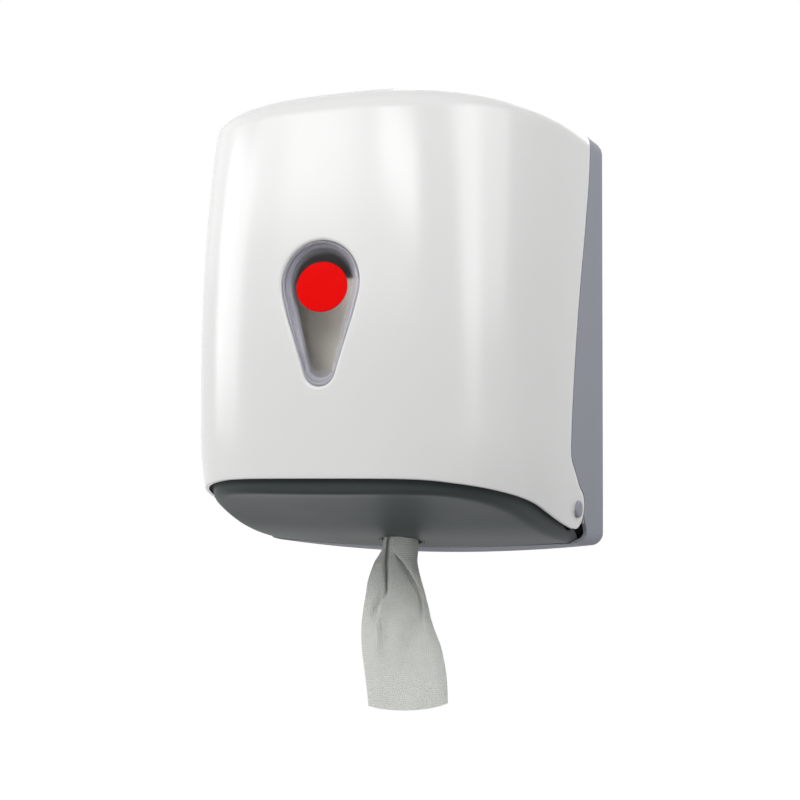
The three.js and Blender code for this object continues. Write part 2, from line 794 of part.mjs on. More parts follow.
function lock_barrel() {
  const flange = cylinder_z(
    0, lock_y, height + fit_gap, height + fit_gap + lock_flange_height,
    lock_flange_radius, big_sides, lock_flange_radius - lock_flange_height / 2,
  );
  const barrel = cylinder_z(
    0, lock_y, barrel_bottom_z, height + lock_flange_height / 2, lock_barrel_radius,
  );
  const bore = cylinder_z(
    0, lock_y, barrel_bottom_z + barrel_floor, height + cut_over, plug_radius + fit_gap,
  );
  const tail_bore = cylinder_z(0, lock_y, 0, height, plug_tail_radius + fit_gap, hole_sides);
  return flange.add(barrel).subtract(bore).subtract(tail_bore);
}
add_piece("lock_barrel", lock_barrel(), materials.steel);

function lock_washer() {
  const top = height - cover_wall - fit_gap;
  const disc = cylinder_z(0, lock_y, top - lock_washer_wall, top, lock_washer_radius);
  return disc.subtract(cylinder_z(0, lock_y, 0, 2 * height, lock_barrel_radius + fit_gap));
}
add_piece("lock_washer", lock_washer(), materials.steel);

function lock_nut() {
  const hexagon = cylinder_z(0, lock_y, nut_top_z - lock_nut_wall, nut_top_z, lock_nut_radius, 6);
  return hexagon.subtract(cylinder_z(0, lock_y, 0, 2 * height, lock_barrel_radius + fit_gap));
}
add_piece("lock_nut", lock_nut(), materials.steel);

function lock_plug() {
  const top = height + fit_gap + lock_flange_height - plug_recess;
  const body = cylinder_z(0, lock_y, barrel_bottom_z + barrel_floor + fit_gap, top, plug_radius);
  const tail = cylinder_z(0, lock_y, cam_top_z - cam_wall, height, plug_tail_radius, hole_sides);
  const slot = box(
    -key_slot_width / 2, key_slot_width / 2, lock_y - key_slot_length / 2,
    lock_y + key_slot_length / 2, top - key_slot_depth, height + cut_over,
  );
  const bore = cylinder_z(
    0, lock_y, cam_top_z - cut_over, cam_top_z + cam_screw_length, screw_radius + fit_gap,
    screw_sides,
  );
  return body.add(tail).subtract(slot).subtract(bore);
}
add_piece("lock_plug", lock_plug(), materials.steel);

// The cam points back to the wall when the lock is open, and turns behind the strike's lip to lock.
function lock_cam() {
  const low = cam_top_z - cam_wall;
  const end_y = lock_y + cam_reach - cam_width / 2;
  const arm = box(-cam_width / 2, cam_width / 2, lock_y, end_y, low, cam_top_z);
  const end = cylinder_z(0, end_y, low, cam_top_z, cam_width / 2);
  const hub = cylinder_z(0, lock_y, low, cam_top_z, cam_width / 2 + cam_hub_wall);
  const hole = cylinder_z(0, lock_y, 0, height, plug_tail_radius + fit_gap / 3, hole_sides);
  return union([arm, end, hub]).subtract(hole);
}
add_piece("lock_cam", lock_cam(), materials.steel);

function cam_screw() {
  const seat = cam_top_z - cam_wall - fit_gap;
  const head = cylinder_z(0, lock_y, seat - screw_head_height, seat, screw_head_radius, hole_sides);
  const shank = cylinder_z(
    0, lock_y, seat - screw_head_height / 2, seat + cam_screw_length, screw_radius, screw_sides,
  );
  const slot = box(
    -driver_length / 2, driver_length / 2, lock_y - driver_width / 2, lock_y + driver_width / 2,
    seat - 2 * screw_head_height, seat - screw_head_height + driver_depth,
  );
  return head.add(shank).subtract(slot);
}
add_piece("cam_screw", cam_screw(), materials.steel);

// Strike: a bent steel strip on the housing's back wall, whose lip stands in front of the locked cam.
const strike_back_y = -housing_wall - fit_gap;
const strike_front_y = strike_back_y - strike_wall;

function strike() {
  const x0 = strike_x;
  const x1 = strike_x + strike_width;
  const lip_y = lock_y - cam_width / 2 - strike_lip_gap;
  const arm = box(x0, x1, lip_y - strike_wall, strike_back_y, strike_arm_low_z, strike_arm_top_z);
  const lip = box(
    x0, x1, lip_y - strike_wall, lip_y, strike_arm_low_z, cam_top_z + strike_lip_over,
  );
  const flange = box(
    x0, x1, strike_front_y, strike_back_y, strike_arm_low_z - strike_flange_height,
    strike_arm_top_z,
  );
  const holes = [-1, 1].map((side) =>
    cylinder_y(
      strike_screw_x, -2 * cut_over, 0, strike_screw_z + side * strike_screw_step,
      screw_hole_radius,
    ),
  );
  return union([arm, lip, flange]).subtract(union(holes));
}
add_piece("lock_strike", strike(), materials.steel);

const strike_screw_y = strike_front_y - fit_gap / 2;

// Cut off inside the housing's back wall.
function strike_screw() {
  const end_z = strike_screw_y + strike_screw_short;
  const tip = box(-cut_over, cut_over, -cut_over, cut_over, -cut_over, end_z);
  return screw().subtract(tip).rotate([90, 0, 0]);
}
["lower", "upper"].forEach((which, i) => {
  const side = 2 * i - 1;
  const place = [strike_screw_x, strike_screw_y, strike_screw_z + side * strike_screw_step];
  add_piece("strike_screw_" + which, strike_screw().translate(place), materials.steel);
});

// Roll and the tail of paper drawn from its centre

function paper_roll() {
  const top = roll_floor_z + roll_height;
  const round = roll_edge_round;
  const profile = [
    [roll_bore_radius, roll_floor_z], [roll_radius - round, roll_floor_z],
    [roll_radius, roll_floor_z + round], [roll_radius, top - round],
    [roll_radius - round, top], [roll_bore_radius, top], [roll_bore_radius, roll_floor_z],
  ].map(([r, z]) => new THREE.Vector2(r, z));
  const g = new THREE.LatheGeometry(profile, roll_sides);
  g.rotateX(Math.PI / 2);
  g.translate(0, roll_y, 0);
  return solid(g);
}
add_piece("paper_roll", paper_roll(), materials.paper);

// Hanging sheet: it leaves the roll's innermost turn, gathers in folds through the nozzle and
// opens towards its free end. The shares are by height, down from the sheet's top.
const tail_height_shares = [0, 0.22, 0.319, 0.34, 0.45, 0.586, 0.691, 0.822, 1];
const tail_left_shares = [0.12, 0.13, 0.145, 0.195, 0.31, 0.367, 0.385, 0.363, 0.31]; // of roll_radius
const tail_right_shares = [0.1, 0.1, 0.12, 0.135, 0.16, 0.24, 0.333, 0.407, 0.425]; // of roll_radius
const tail_fold_shares = [0.06, 0.06, 0.06, 0.065, 0.075, 0.075, 0.07, 0.055, 0.045]; // of roll_radius

function share_at(shares, u) {
  const i = Math.min(shares.length - 2, Math.floor(u));
  return shares[i] + (shares[i + 1] - shares[i]) * (u - i);
}

function paper_tail() {
  const bore_radius = roll_bore_radius - fit_gap - tail_wall / 2;
  const rings = [];
  for (let r = 0; r <= tail_rows; r++) {
    const u = (r / tail_rows) * (tail_height_shares.length - 1);
    const down = share_at(tail_height_shares, u);
    const left = -share_at(tail_left_shares, u) * roll_radius;
    const right = share_at(tail_right_shares, u) * roll_radius;
    const fold = share_at(tail_fold_shares, u) * roll_radius;
    const folded = clamp01(down / tail_height_shares[1]) ** 2;
    const line = [];
    for (let c = 0; c <= tail_columns; c++) {
      const s = c / tail_columns;
      const x = left + (right - left) * s;
      const on_roll = roll_y + Math.sqrt(bore_radius ** 2 - Math.min(x ** 2, bore_radius ** 2));
      const in_folds = outlet_y + fold * Math.sin(2 * Math.PI * (tail_folds * s + tail_phase_share));
      line.push(new THREE.Vector2(x, on_roll + (in_folds - on_roll) * folded));
    }
    const offset = (side) =>
      line.map((p, i) => {
        const ahead = line[Math.min(i + 1, tail_columns)];
        const behind = line[Math.max(i - 1, 0)];
        const along = ahead.clone().sub(behind).normalize();
        const shift = (side * tail_wall) / 2;
        const hem = tail_hem_rise * down ** 4 * (2 * (i / tail_columns) - 1) ** 2;
        const z = tail_top_z + (tail_bottom_z - tail_top_z) * down + hem;
        return new THREE.Vector3(p.x - along.y * shift, p.y + along.x * shift, z);
      });
    rings.push([...offset(-1), ...offset(1).reverse()]);
  }
  return loft(rings.reverse());
}
add_piece("paper_tail", paper_tail(), materials.paper);

export default dispenser;
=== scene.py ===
# %% [markdown]
# A centrefeed roll dispenser, dressed for its photograph.
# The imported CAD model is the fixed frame: it says where every piece is and how it moves. Blender
# could shade those faceted solids as they are, but glossy plastic shows each facet. So the large
# shells are modelled again from the same sizes as smooth, dense skins, and each one replaces its
# solid. All lengths are in metres.

import math

import bmesh
import bpy
import numpy as np
from mathutils import Matrix, Vector


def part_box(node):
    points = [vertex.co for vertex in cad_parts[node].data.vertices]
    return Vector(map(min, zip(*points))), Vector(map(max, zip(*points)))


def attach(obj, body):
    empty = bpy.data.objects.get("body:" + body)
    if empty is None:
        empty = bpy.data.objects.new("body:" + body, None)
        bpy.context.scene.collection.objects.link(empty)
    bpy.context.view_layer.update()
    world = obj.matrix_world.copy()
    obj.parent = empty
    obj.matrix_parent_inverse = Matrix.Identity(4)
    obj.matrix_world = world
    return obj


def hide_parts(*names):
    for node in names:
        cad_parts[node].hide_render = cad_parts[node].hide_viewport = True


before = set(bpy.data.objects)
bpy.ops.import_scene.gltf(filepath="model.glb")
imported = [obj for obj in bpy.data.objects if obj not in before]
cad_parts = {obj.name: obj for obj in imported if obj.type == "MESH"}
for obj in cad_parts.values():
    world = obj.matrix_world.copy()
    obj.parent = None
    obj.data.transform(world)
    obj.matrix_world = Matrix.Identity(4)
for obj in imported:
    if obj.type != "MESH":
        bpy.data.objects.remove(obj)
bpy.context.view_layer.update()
mm = 0.001

# %% [markdown]
# The photograph was taken from the dispenser's right and a little from below, with a long lens.
# The horizon lies below the middle of the picture. So the camera's frame is shifted upwards and
# hardly tilted, which keeps the dispenser's upright edges upright.

# %% Camera
camera_place = (445 * mm, -1128 * mm, 54 * mm)
camera_turn = math.radians(23)
camera_rise = math.radians(1)
sensor_width = 36
lens_length = 65.25
frame_shift = 0.0659


def add_object(name, data):
    """A new object in the scene, from its mesh, camera or light."""
    made = bpy.data.objects.new(name, data)
    bpy.context.scene.collection.objects.link(made)
    return made


camera = add_object("camera", bpy.data.cameras.new("camera"))
camera.location = camera_place
camera.rotation_euler = (math.radians(90) + camera_rise, 0, camera_turn)
camera.data.sensor_width = sensor_width
camera.data.lens = lens_length
camera.data.shift_y = frame_shift
bpy.context.scene.camera = camera
print("camera with a lens of", lens_length, "mm")

# %% [markdown]
# A moulded skin is easiest to make as patches: small grids of points that share their borders.
# A class collects the patches, and welding the borders afterwards joins them into one skin. The
# other way, cutting finished solids with booleans, is kept for the pieces that are less glossy,
# because it leaves uneven faces that show in a reflection.

# %% Patches of points
weld_reach = 0.004 * mm


class Skin:
    """Grids of points whose touching borders are welded when the skin becomes an object."""

    def __init__(self):
        self.points = []
        self.faces = []

    def patch(self, grid, around=False):
        """A grid of points, rows by columns. With around, the last column joins the first."""
        grid = np.asarray(grid, float)
        rows, columns = grid.shape[:2]
        start = len(self.points)
        self.points.extend(map(tuple, grid.reshape(-1, 3)))
        for row in range(rows - 1):
            for column in range(columns if around else columns - 1):
                near = start + row * columns
                beside = (column + 1) % columns
                next_row = near + columns
                self.faces.append((near + column, near + beside, next_row + beside, next_row + column))
        return self

    def ring_cap(self, ring):
        """One flat face across a ring of points."""
        start = len(self.points)
        self.points.extend(map(tuple, ring))
        self.faces.append(tuple(range(start, start + len(ring))))
        return self

    def object(self, name, weld=weld_reach):
        mesh = bpy.data.meshes.new(name)
        mesh.from_pydata(self.points, [], self.faces)
        shape = bmesh.new()
        shape.from_mesh(mesh)
        bmesh.ops.remove_doubles(shape, verts=shape.verts, dist=weld)
        bmesh.ops.dissolve_degenerate(shape, edges=shape.edges, dist=weld)
        bmesh.ops.recalc_face_normals(shape, faces=shape.faces)
        shape.to_mesh(mesh)
        shape.free()
        return add_object(name, mesh)


def tube_through(rings, name):
    """A skin through a row of closed rings of points."""
    return Skin().patch(np.array(rings), around=True).object(name)


def solid_through(sections, name):
    """A closed solid through a row of outlines, with flat ends."""
    skin = Skin().patch(np.array(sections), around=True)
    return skin.ring_cap(sections[0]).ring_cap(sections[-1]).object(name)


print("borders weld within", weld_reach / mm, "mm")

# %% [markdown]
# A moulding is smooth except at its hard edges, so the shading is smooth everywhere but along edges
# that bend sharply. The finished piece is then handed to the frame: it rides on one body and takes
# the place of its faceted solid.

# %% Edges and the frame
sharp_bend = math.radians(32)


def crease(piece):
    """Smooth shading, with a hard line along each edge that bends sharply."""
    shape = bmesh.new()
    shape.from_mesh(piece.data)
    for face in shape.faces:
        face.smooth = True
    for edge in shape.edges:
        edge.smooth = len(edge.link_faces) == 2 and edge.calc_face_angle() < sharp_bend
    shape.to_mesh(piece.data)
    shape.free()
    return piece


def settle(piece, body, slot, *nodes):
    """Hands a finished piece to the frame: the body it rides on and what it replaces. The slot is not used.
    """
    crease(piece)
    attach(piece, body)
    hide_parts(*nodes)
    print(piece.name, len(piece.data.polygons), "faces")
    return piece


print("edges show from", round(math.degrees(sharp_bend)), "degrees")

# %% [markdown]
# The whole dispenser follows one outer form. Seen from above it is a squarish oval that starts at
# the wall, a superellipse: one number, its power, says how square it is. Towards the top the oval
# gets rounder and leans back, and towards the bottom the sides draw in. Written as a formula, the
# cover, its inner face, the tray and the window can all be laid on the same form, each at its own
# depth below it.

# %% The outer form
half_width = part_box("rear_housing")[1].x
depth = -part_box("front_cover")[0].y
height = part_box("front_cover")[1].z
plan_power = 3.6
plan_power_top = 2.85
shoulder_start = 125 * mm
shoulder_lean = 13 * mm
tuck_start = 88 * mm
tuck_in = 25 * mm
top_round_run = 50 * mm
top_round_rise = 21 * mm
wall_top = height - top_round_rise


def eased(start, end, value):
    return np.clip((value - start) / (end - start), 0, 1) ** 2


def plan_of(z):
    """The plan oval at a height: its power, its reach from the wall and its sides' draw."""
    lift = eased(shoulder_start, height, z)
    power = plan_power + (plan_power_top - plan_power) * lift
    return power, depth - shoulder_lean * lift, tuck_in * eased(tuck_start, 0, z)


print("form", [round(v / mm, 1) for v in (half_width, depth, height)])

# %% Points on the form
crowding = 1.8  # draws the columns of points towards the wall and the middle of the front
mirror = np.array([-1, 1, 1])


def half_width_at(out, z, inset=0):
    power, reach, tuck = plan_of(z)
    share = np.clip(out / (reach - inset), 0, 1)
    return (half_width - inset - tuck * share) * (1 - share**power) ** (1 / power)


def on_form(turn, z, inset=0):
    """x, y, z on the form: turn runs from 0 at the wall to 1 at the middle of the front."""
    power, reach, tuck = plan_of(z)
    turn = np.clip(turn, 0, 1)
    ease = turn**crowding / (turn**crowding + (1 - turn) ** crowding)
    angle = ease * np.pi / 2
    share = np.sin(angle) ** (2 / power)
    x = (half_width - inset - tuck * share) * np.clip(np.cos(angle), 0, 1) ** (2 / power)
    x, y, z = np.broadcast_arrays(np.where(turn >= 1, 0, x), -(reach - inset) * share, z)
    return np.stack([x, y, z], -1)


def turn_at(out, z, inset=0):
    """The turn of the point that lies so far out from the wall."""
    power, reach, _ = plan_of(z)
    share = np.clip(out / (reach - inset), 0, 1)
    ease = np.arcsin(share ** (power / 2)) / (np.pi / 2)
    ease = np.clip(ease, 0, 1)
    return ease ** (1 / crowding) / (ease ** (1 / crowding) + (1 - ease) ** (1 / crowding))


def front_at(x, z, deep=0):
    """x, y, z on the front of the form, so deep below it."""
    power, reach, _ = plan_of(z)
    share = (1 - np.clip(np.abs(x) / half_width, 0, 1) ** power) ** (1 / power)
    x, y, z = np.broadcast_arrays(x, -(reach * share - deep), z)
    return np.stack([x, y, z], -1)


print("front at the top of the wall", front_at(0, wall_top).round(4))

# %% [markdown]
# Seen from the side, the pieces end along curves: the cover's lower edge and rear edge, and the
# foot of the housing where it meets the tray. Each is a smooth curve through a few chosen points,
# written as shares of the depth and the height, with a circle round the hinge pin.

# %% Side curves
fit_gap = 0.3 * mm
seam_gap = 0.8 * mm
lug_radius = 15.6 * mm
lug_clearance = 0.7 * mm
lower_edge_shares = [
    (0.29, 0.0461), (0.4, 0.0638), (0.5, 0.084), (0.595, 0.105), (0.68, 0.1195), (0.79, 0.1345),
    (0.91, 0.15), (1, 0.1605), (1.2, 0.163),
]
rear_edge_shares = [
    (0.276, 0.146), (0.3, 0.1625), (0.33, 0.181), (0.362, 0.201), (0.3745, 0.226), (0.3725, 0.26),
    (0.3635, 0.31), (0.343, 0.395), (0.31, 0.505), (0.268, 0.615), (0.216, 0.733), (0.17, 0.85),
    (0.1505, 0.945), (0.148, 1.1),
]
seam_shares = [(0.186, 0.06), (0.163, 0.036), (0.168, 0.02), (0.19, 0.009), (0.214, 0.002), (0.226, -0.06)]
under_out_shares = [0, 0.13, 0.34, 0.5, 0.67, 0.82, 0.93, 1.1]
under_side_shares = [0.004, 0.008, 0.027, 0.051, 0.087, 0.114, 0.127, 0.134]
under_bow_shares = [0.026, 0.024, 0.012, 0.01, 0.009, 0.006, 0.003, 0.001]
corner_radius = 9 * mm


def middle_of(box):
    """A box's middle: how far it lies out from the wall, and how high."""
    return -(box[0].y + box[1].y) / 2, (box[0].z + box[1].z) / 2


pin_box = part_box("hinge_pin_right")
pin_out, pin_z = middle_of(pin_box)
print("hinge pin at", round(pin_out / mm, 2), round(pin_z / mm, 2))


# %% Smooth curves
def spline(points, count=240):
    """A smooth curve through the points: cubic stretches that leave each point along its neighbours."""
    points = np.array(points, float)
    last = len(points) - 1
    time = np.linspace(0, last, count)
    start = np.minimum(time.astype(int), last - 1)
    t = (time - start)[:, None]
    before, here = points[np.maximum(start - 1, 0)], points[start]
    there, after = points[start + 1], points[np.minimum(start + 2, last)]
    leave, arrive = (there - before) / 2, (after - here) / 2
    return ((2 * here - 2 * there + leave + arrive) * t**3
            + (3 * there - 3 * here - 2 * leave - arrive) * t**2 + leave * t + here)


def curve_of(shares):
    return spline(shares) * (depth, height)


lower_edge = curve_of(lower_edge_shares)
rear_edge = curve_of(rear_edge_shares)
under_side = curve_of(list(zip(under_out_shares, under_side_shares)))
under_bow = curve_of(list(zip(under_out_shares, under_bow_shares)))
print("curves of", len(rear_edge), "points")


# %% Heights and depths along the curves
def lower_edge_at(out):
    return np.interp(out, lower_edge[:, 0], lower_edge[:, 1])


def rear_edge_at(z):
    return np.interp(z, rear_edge[:, 1], rear_edge[:, 0])


def under_at(x, out, inset=0):
    """Height of the underside, whose middle hangs lower than its sides."""
    side = np.interp(out, under_side[:, 0], under_side[:, 1])
    bow = np.interp(out, under_bow[:, 0], under_bow[:, 1])
    wide = np.maximum(half_width_at(out, side + corner_radius, inset), half_width / 4)
    return side - bow * np.clip(1 - (x / wide) ** 2, 0, 1)


print("underside's middle at the front, in mm", round(float(under_at(0, depth)) / mm, 1))


# %% Lines in a side view
def pin_arc(radius, start, end, count=18):
    """Points of a circle round the hinge pin, by angle from straight back to the wall."""
    angle = np.radians(np.linspace(start, end, count))
    return np.stack([pin_out - radius * np.cos(angle), pin_z + radius * np.sin(angle)], -1)


def even_steps(line, count):
    """The same line as so many points at equal steps along it."""
    steps = np.linalg.norm(np.diff(line, axis=0), axis=1)
    length = np.concatenate([[0], np.cumsum(steps)])
    at = np.linspace(0, length[-1], count)
    return np.stack([np.interp(at, length, line[:, axis]) for axis in range(line.shape[1])], -1)


def across(line):
    """Unit vectors at right angles to a side curve, to its right as it runs."""
    along = np.gradient(line, axis=0)
    along /= np.linalg.norm(along, axis=1)[:, None]
    return np.stack([along[:, 1], -along[:, 0]], -1)


print("the lug's foot is at", pin_arc(lug_radius, -90, 0)[0].round(4))

# %% [markdown]
# The cover is one glossy white moulding, and its long soft reflections show any unevenness. Each
# half is a grid: its rows leave the side edge, which runs round the hinge lug and up the rear
# edge, and end at the middle of the front. The first row follows the lower edge. Further rows
# roll over the top, and straight strips close the flat middle. The inner face is the same grid at
# the wall's depth, and a rounded strip joins the two all round, as a moulded edge does.

# %% The cover's two faces
cover_wall = 2.6 * mm
edge_round = 0.6 * mm
side_rows = 96
round_rows = 9
half_columns = 62
cap_columns = 24
drop_columns = 20  # columns on each side of the middle that make room for the window
drop_rows = (17, 64)  # the rows between which they do
lug_arc = (-90, 72, 24)  # first and last degree, and the number of points

side_edge = np.concatenate([pin_arc(lug_radius, *lug_arc), rear_edge[rear_edge[:, 1] < wall_top]])
side_edge = np.concatenate([side_edge, [(rear_edge_at(wall_top), wall_top)]])
side_edge = even_steps(side_edge, side_rows)
side_across = across(side_edge)
side_line = side_edge + side_across * edge_round
along_share = np.linspace(0, 1, side_rows)
print("side edge from", side_edge[0].round(4), "to", side_edge[-1].round(4))


# %% Rows of the cover's faces
def cover_rows(inset):
    """The rows of one half, from the lower edge to the flat of the top."""
    turn_start = turn_at(side_line[:, 0], side_line[:, 1], inset)
    share = np.linspace(0, 1, half_columns)
    turn = turn_start[:, None] + (1 - turn_start[:, None]) * share
    first_out = -on_form(turn[0], side_line[0, 1], inset)[:, 1]
    low = lower_edge_at(first_out) + edge_round
    low[0] = side_line[0, 1]
    front = low[-1] + (wall_top - low[-1]) * along_share
    rise = side_line[:, 1][:, None] + (front - side_line[:, 1])[:, None] * share
    z = rise + (1 - along_share[:, None]) ** 2 * (low - rise[0])
    rows = [on_form(turn[row], z[row], inset) for row in range(side_rows)]
    for angle in np.linspace(0, math.pi / 2, round_rows)[1:]:
        level = wall_top + (top_round_rise - inset) * math.sin(angle)
        drawn = inset + (top_round_run - inset) * (1 - math.cos(angle))
        start = turn_at(rear_edge_at(level) + edge_round, level, drawn)
        rows.append(on_form(start + (1 - start) * share, level, drawn))
    return np.array(rows)


def cap_rows(rows):
    """Straight strips across the flat top, from the right half to the left one."""
    right = rows[-1]
    share = np.linspace(0, 1, cap_columns)[:, None]
    return np.array([point * (1 - share) + point * mirror * share for point in right])


outer_rows, inner_rows = cover_rows(0), cover_rows(cover_wall)
outer_cap, inner_cap = cap_rows(outer_rows), cap_rows(inner_rows)
print("cover grid", outer_rows.shape)


# %% The cover's border
def rim_line(rows, cap):
    """The border of one face: lower edge, side, rear of the top, and back down the other side."""
    right = np.concatenate([rows[0][::-1], rows[1:, 0]])
    return np.concatenate([right, cap[0][1:-1], (right * mirror)[::-1][:-1]])


def rim_across():
    """At each point of the border, the direction that leads out of the cover."""
    first = cover_rows(0)[0]
    lower = across(np.stack([-first[:, 1], lower_edge_at(-first[:, 1])], -1)[::-1])
    lower[-1] = -side_across[0]
    back = np.array([(-1.0, 0.0)])
    side = -side_across[1:]
    lower = -lower if lower[0][1] > 0 else lower
    right = np.concatenate([lower, side, np.repeat(back, round_rows - 1, 0)])
    line = np.stack([0 * right[:, 0], -right[:, 0], right[:, 1]], -1)
    cap = np.repeat([(0.0, 1.0, 0.0)], cap_columns - 2, 0)
    return np.concatenate([line, cap, line[::-1][:-1]])


print("border of", len(rim_across()), "points")

# %% [markdown]
# The window is a drop: a large circle and a small one below it, joined by tangents that bulge a
# little. Rays from the large circle's centre give its points, so every outline, wider or narrower,
# has them at the same angles. Drawn inwards by the same amount all round, the small circle would
# lose half of its radius and look pinched. It keeps most of it instead, and the whole drop moves up
# a little. So the bevel is narrow beside the small circle and wide below it, as on the real one.

# %% The drop outline
window_height_share = 0.5674
window_z = window_height_share * height
window_radius = 30.2 * mm
window_tip_radius = 12.5 * mm
window_drop = 59.4 * mm
window_bulge = 0.8 * mm
window_lip = 2.1 * mm
inner_tip_share = 0.2  # the part of an inward offset that comes off the small circle's radius
inner_rise_share = 0.28  # the part of it by which the whole drop moves up


def drop_outline(angle, offset):
    """x, z of the drop outline, widened by offset, where rays from its centre meet it."""
    inward = max(-offset, 0)
    big = window_radius + offset
    small = window_tip_radius + max(offset, 0) - inner_tip_share * inward
    rise = inner_rise_share * inward
    drop = window_drop + rise - (1 - inner_tip_share) * inward
    lean = math.asin((big - small) / drop)
    x, z = np.cos(angle), np.sin(angle)
    side = big / np.maximum(np.abs(x) * math.cos(lean) - z * math.sin(lean), 0.1)
    middle = -z * drop
    tip = middle + np.sqrt(np.maximum(middle**2 - drop**2 + small**2, 0))
    tip_share = math.cos(lean) * small / (drop + math.sin(lean) * small)
    reach = np.where(z > -math.sin(lean), big, np.where(np.abs(x) < -z * tip_share, tip, side))
    along = np.clip(np.arctan2(-z, np.abs(x)) / (math.pi / 2), 0, 1)
    reach = reach + window_bulge * np.sin(math.pi * along) ** 2
    return np.stack([x * reach, z * reach + window_z + rise], -1)


def drop_ring(angle, offset, deep):
    line = drop_outline(angle, offset)
    return front_at(line[:, 0], line[:, 1], deep)


print("drop from", (drop_outline(np.array([-np.pi / 2, np.pi / 2]), 0)[:, 1] / mm).round(1), "mm up")

# %% [markdown]
# To make room for the drop, a square block of the front's grid is left out. Rings of points lead
# from the block's border to the drop, which keeps the faces round the window even. A boolean cut
# would be shorter to write, but it leaves long thin faces that show in the gloss.

# %% Rings round the window
def block_border(rows):
    """The border of the block that is left out, anticlockwise seen from the front."""
    low, high = drop_rows
    first = half_columns - 1 - drop_columns
    block = rows[low:high + 1, first:]
    both = np.concatenate([block * mirror, block[:, ::-1][:, 1:]], 1)
    return np.concatenate([both[0], both[1:, -1], both[-1, ::-1][1:], both[1:-1, 0][::-1]])


def ring_angles(border):
    return np.arctan2(border[:, 2] - window_z, border[:, 0])


def window_frame(rows, offset, deep, count=9):
    """Rings from the block's border to the drop outline on one face of the cover."""
    border = block_border(rows)
    line = drop_outline(ring_angles(border), offset)
    rings = [border]
    for share in np.linspace(0, 1, count)[1:]:
        flat = border[:, [0, 2]] * (1 - share) + line * share
        rings.append(front_at(flat[:, 0], flat[:, 1], deep))
    return np.array(rings)


drop_angles = ring_angles(block_border(outer_rows))
print("window ring", len(drop_angles), "points")

# %% [markdown]
# Now the cover's skin can be put together: two faces, a rounded strip round their border, the rings
# round the window on both faces, and a rolled lip that leads from one to the other in the hole.

# %% The cover
edge_steps = 9
lip_steps = 6


def cover_face(skin, rows, cap):
    low, high = drop_rows
    first = half_columns - 1 - drop_columns
    for side in (1, mirror):
        half = rows * side
        skin.patch(half[:low + 1])
        skin.patch(half[low:high + 1, :first + 1])
        skin.patch(half[high:])
    skin.patch(cap)


def cover_shape():
    skin = Skin()
    cover_face(skin, outer_rows, outer_cap)
    cover_face(skin, inner_rows, inner_cap)
    outer_line, inner_line = rim_line(outer_rows, outer_cap), rim_line(inner_rows, inner_cap)
    middle, half = (outer_line + inner_line) / 2, (outer_line - inner_line) / 2
    outward = rim_across()
    rim = [
        middle + half * math.cos(angle) + outward * edge_round * math.sin(angle)
        for angle in np.linspace(0, math.pi, edge_steps)
    ]
    skin.patch(np.array(rim), around=True)
    skin.patch(window_frame(outer_rows, window_lip, 0), around=True)
    inner = window_frame(inner_rows, 0, cover_wall)
    skin.patch(inner, around=True)
    lip = [
        drop_ring(drop_angles, window_lip * (1 - math.sin(angle)), window_lip * (1 - math.cos(angle)))
        for angle in np.linspace(0, math.pi / 2, lip_steps)
    ]
    skin.patch(np.array([*lip, inner[-1]]), around=True)
    return skin.object("cover_shell")


cover = cover_shape()
print("cover skin", len(cover.data.polygons), "faces")

# %% [markdown]
# Each hinge pin runs in a round pad inside the cover's lug, its boss. A plain cylinder would poke
# through the lug, which curves, so the pad's outer end follows the form half way into the wall.

# %% Hinge bosses
boss_depth = 3.3 * mm
boss_face = half_width_at(pin_out, pin_z, cover_wall) - boss_depth
boss_round = 0.8 * mm
boss_radius = lug_radius - edge_round - fit_gap
boss_sink_share = 0.6  # how deep in the cover's wall the outer end lies
boss_sides = 48


def full_turn(count):
    """So many angles all round, without the last, which is the first again."""
    return np.linspace(0, 2 * math.pi, count, endpoint=False)


def join(target, *others):
    """Adds the meshes of other objects to the target's, as bodies of one moulding."""
    shape = bmesh.new()
    for one in (target, *others):
        shape.from_mesh(one.data)
    shape.to_mesh(target.data)
    shape.free()
    for one in others:
        bpy.data.objects.remove(one)
    return target


def hinge_boss(side):
    """A round pad. The rings of its outer end have no level of their own and follow the form."""
    angle = full_turn(boss_sides)
    rings = []
    for reach, level in (
        (0, boss_face), (boss_radius - boss_round, boss_face), (boss_radius, boss_face + boss_round),
        (boss_radius, None), (0, None),
    ):
        out, z = pin_out - reach * np.cos(angle), pin_z + reach * np.sin(angle)
        if level is None:
            level = half_width_at(out, z, boss_sink_share * cover_wall)
        rings.append(np.stack([side * level * np.ones(boss_sides), -out, z], -1))
    return tube_through(rings, "hinge_boss")


cover = settle(join(cover, hinge_boss(1), hinge_boss(-1)), "cover", "cover_plastic", "front_cover")

# %% [markdown]
# The housing and the tray are satin plastic, so small unevenness doesn't show and a boolean may
# shape them. Both start from one closed body that follows the outer form down to the underside
# and turns into it with a round edge. The side curves then cut it like a biscuit cutter, and the
# same body, drawn in by the wall, hollows it out.

# %% A closed body with the underside
under_centre = 76 * mm  # the outlet's place, where the underside's points draw together
corner_shrink_share = 0.55  # how much smaller the bottom edge's radius is at the front
body_columns = 56
back_columns = 26
wall_rows = 34
corner_rows = 7
floor_rows = 22


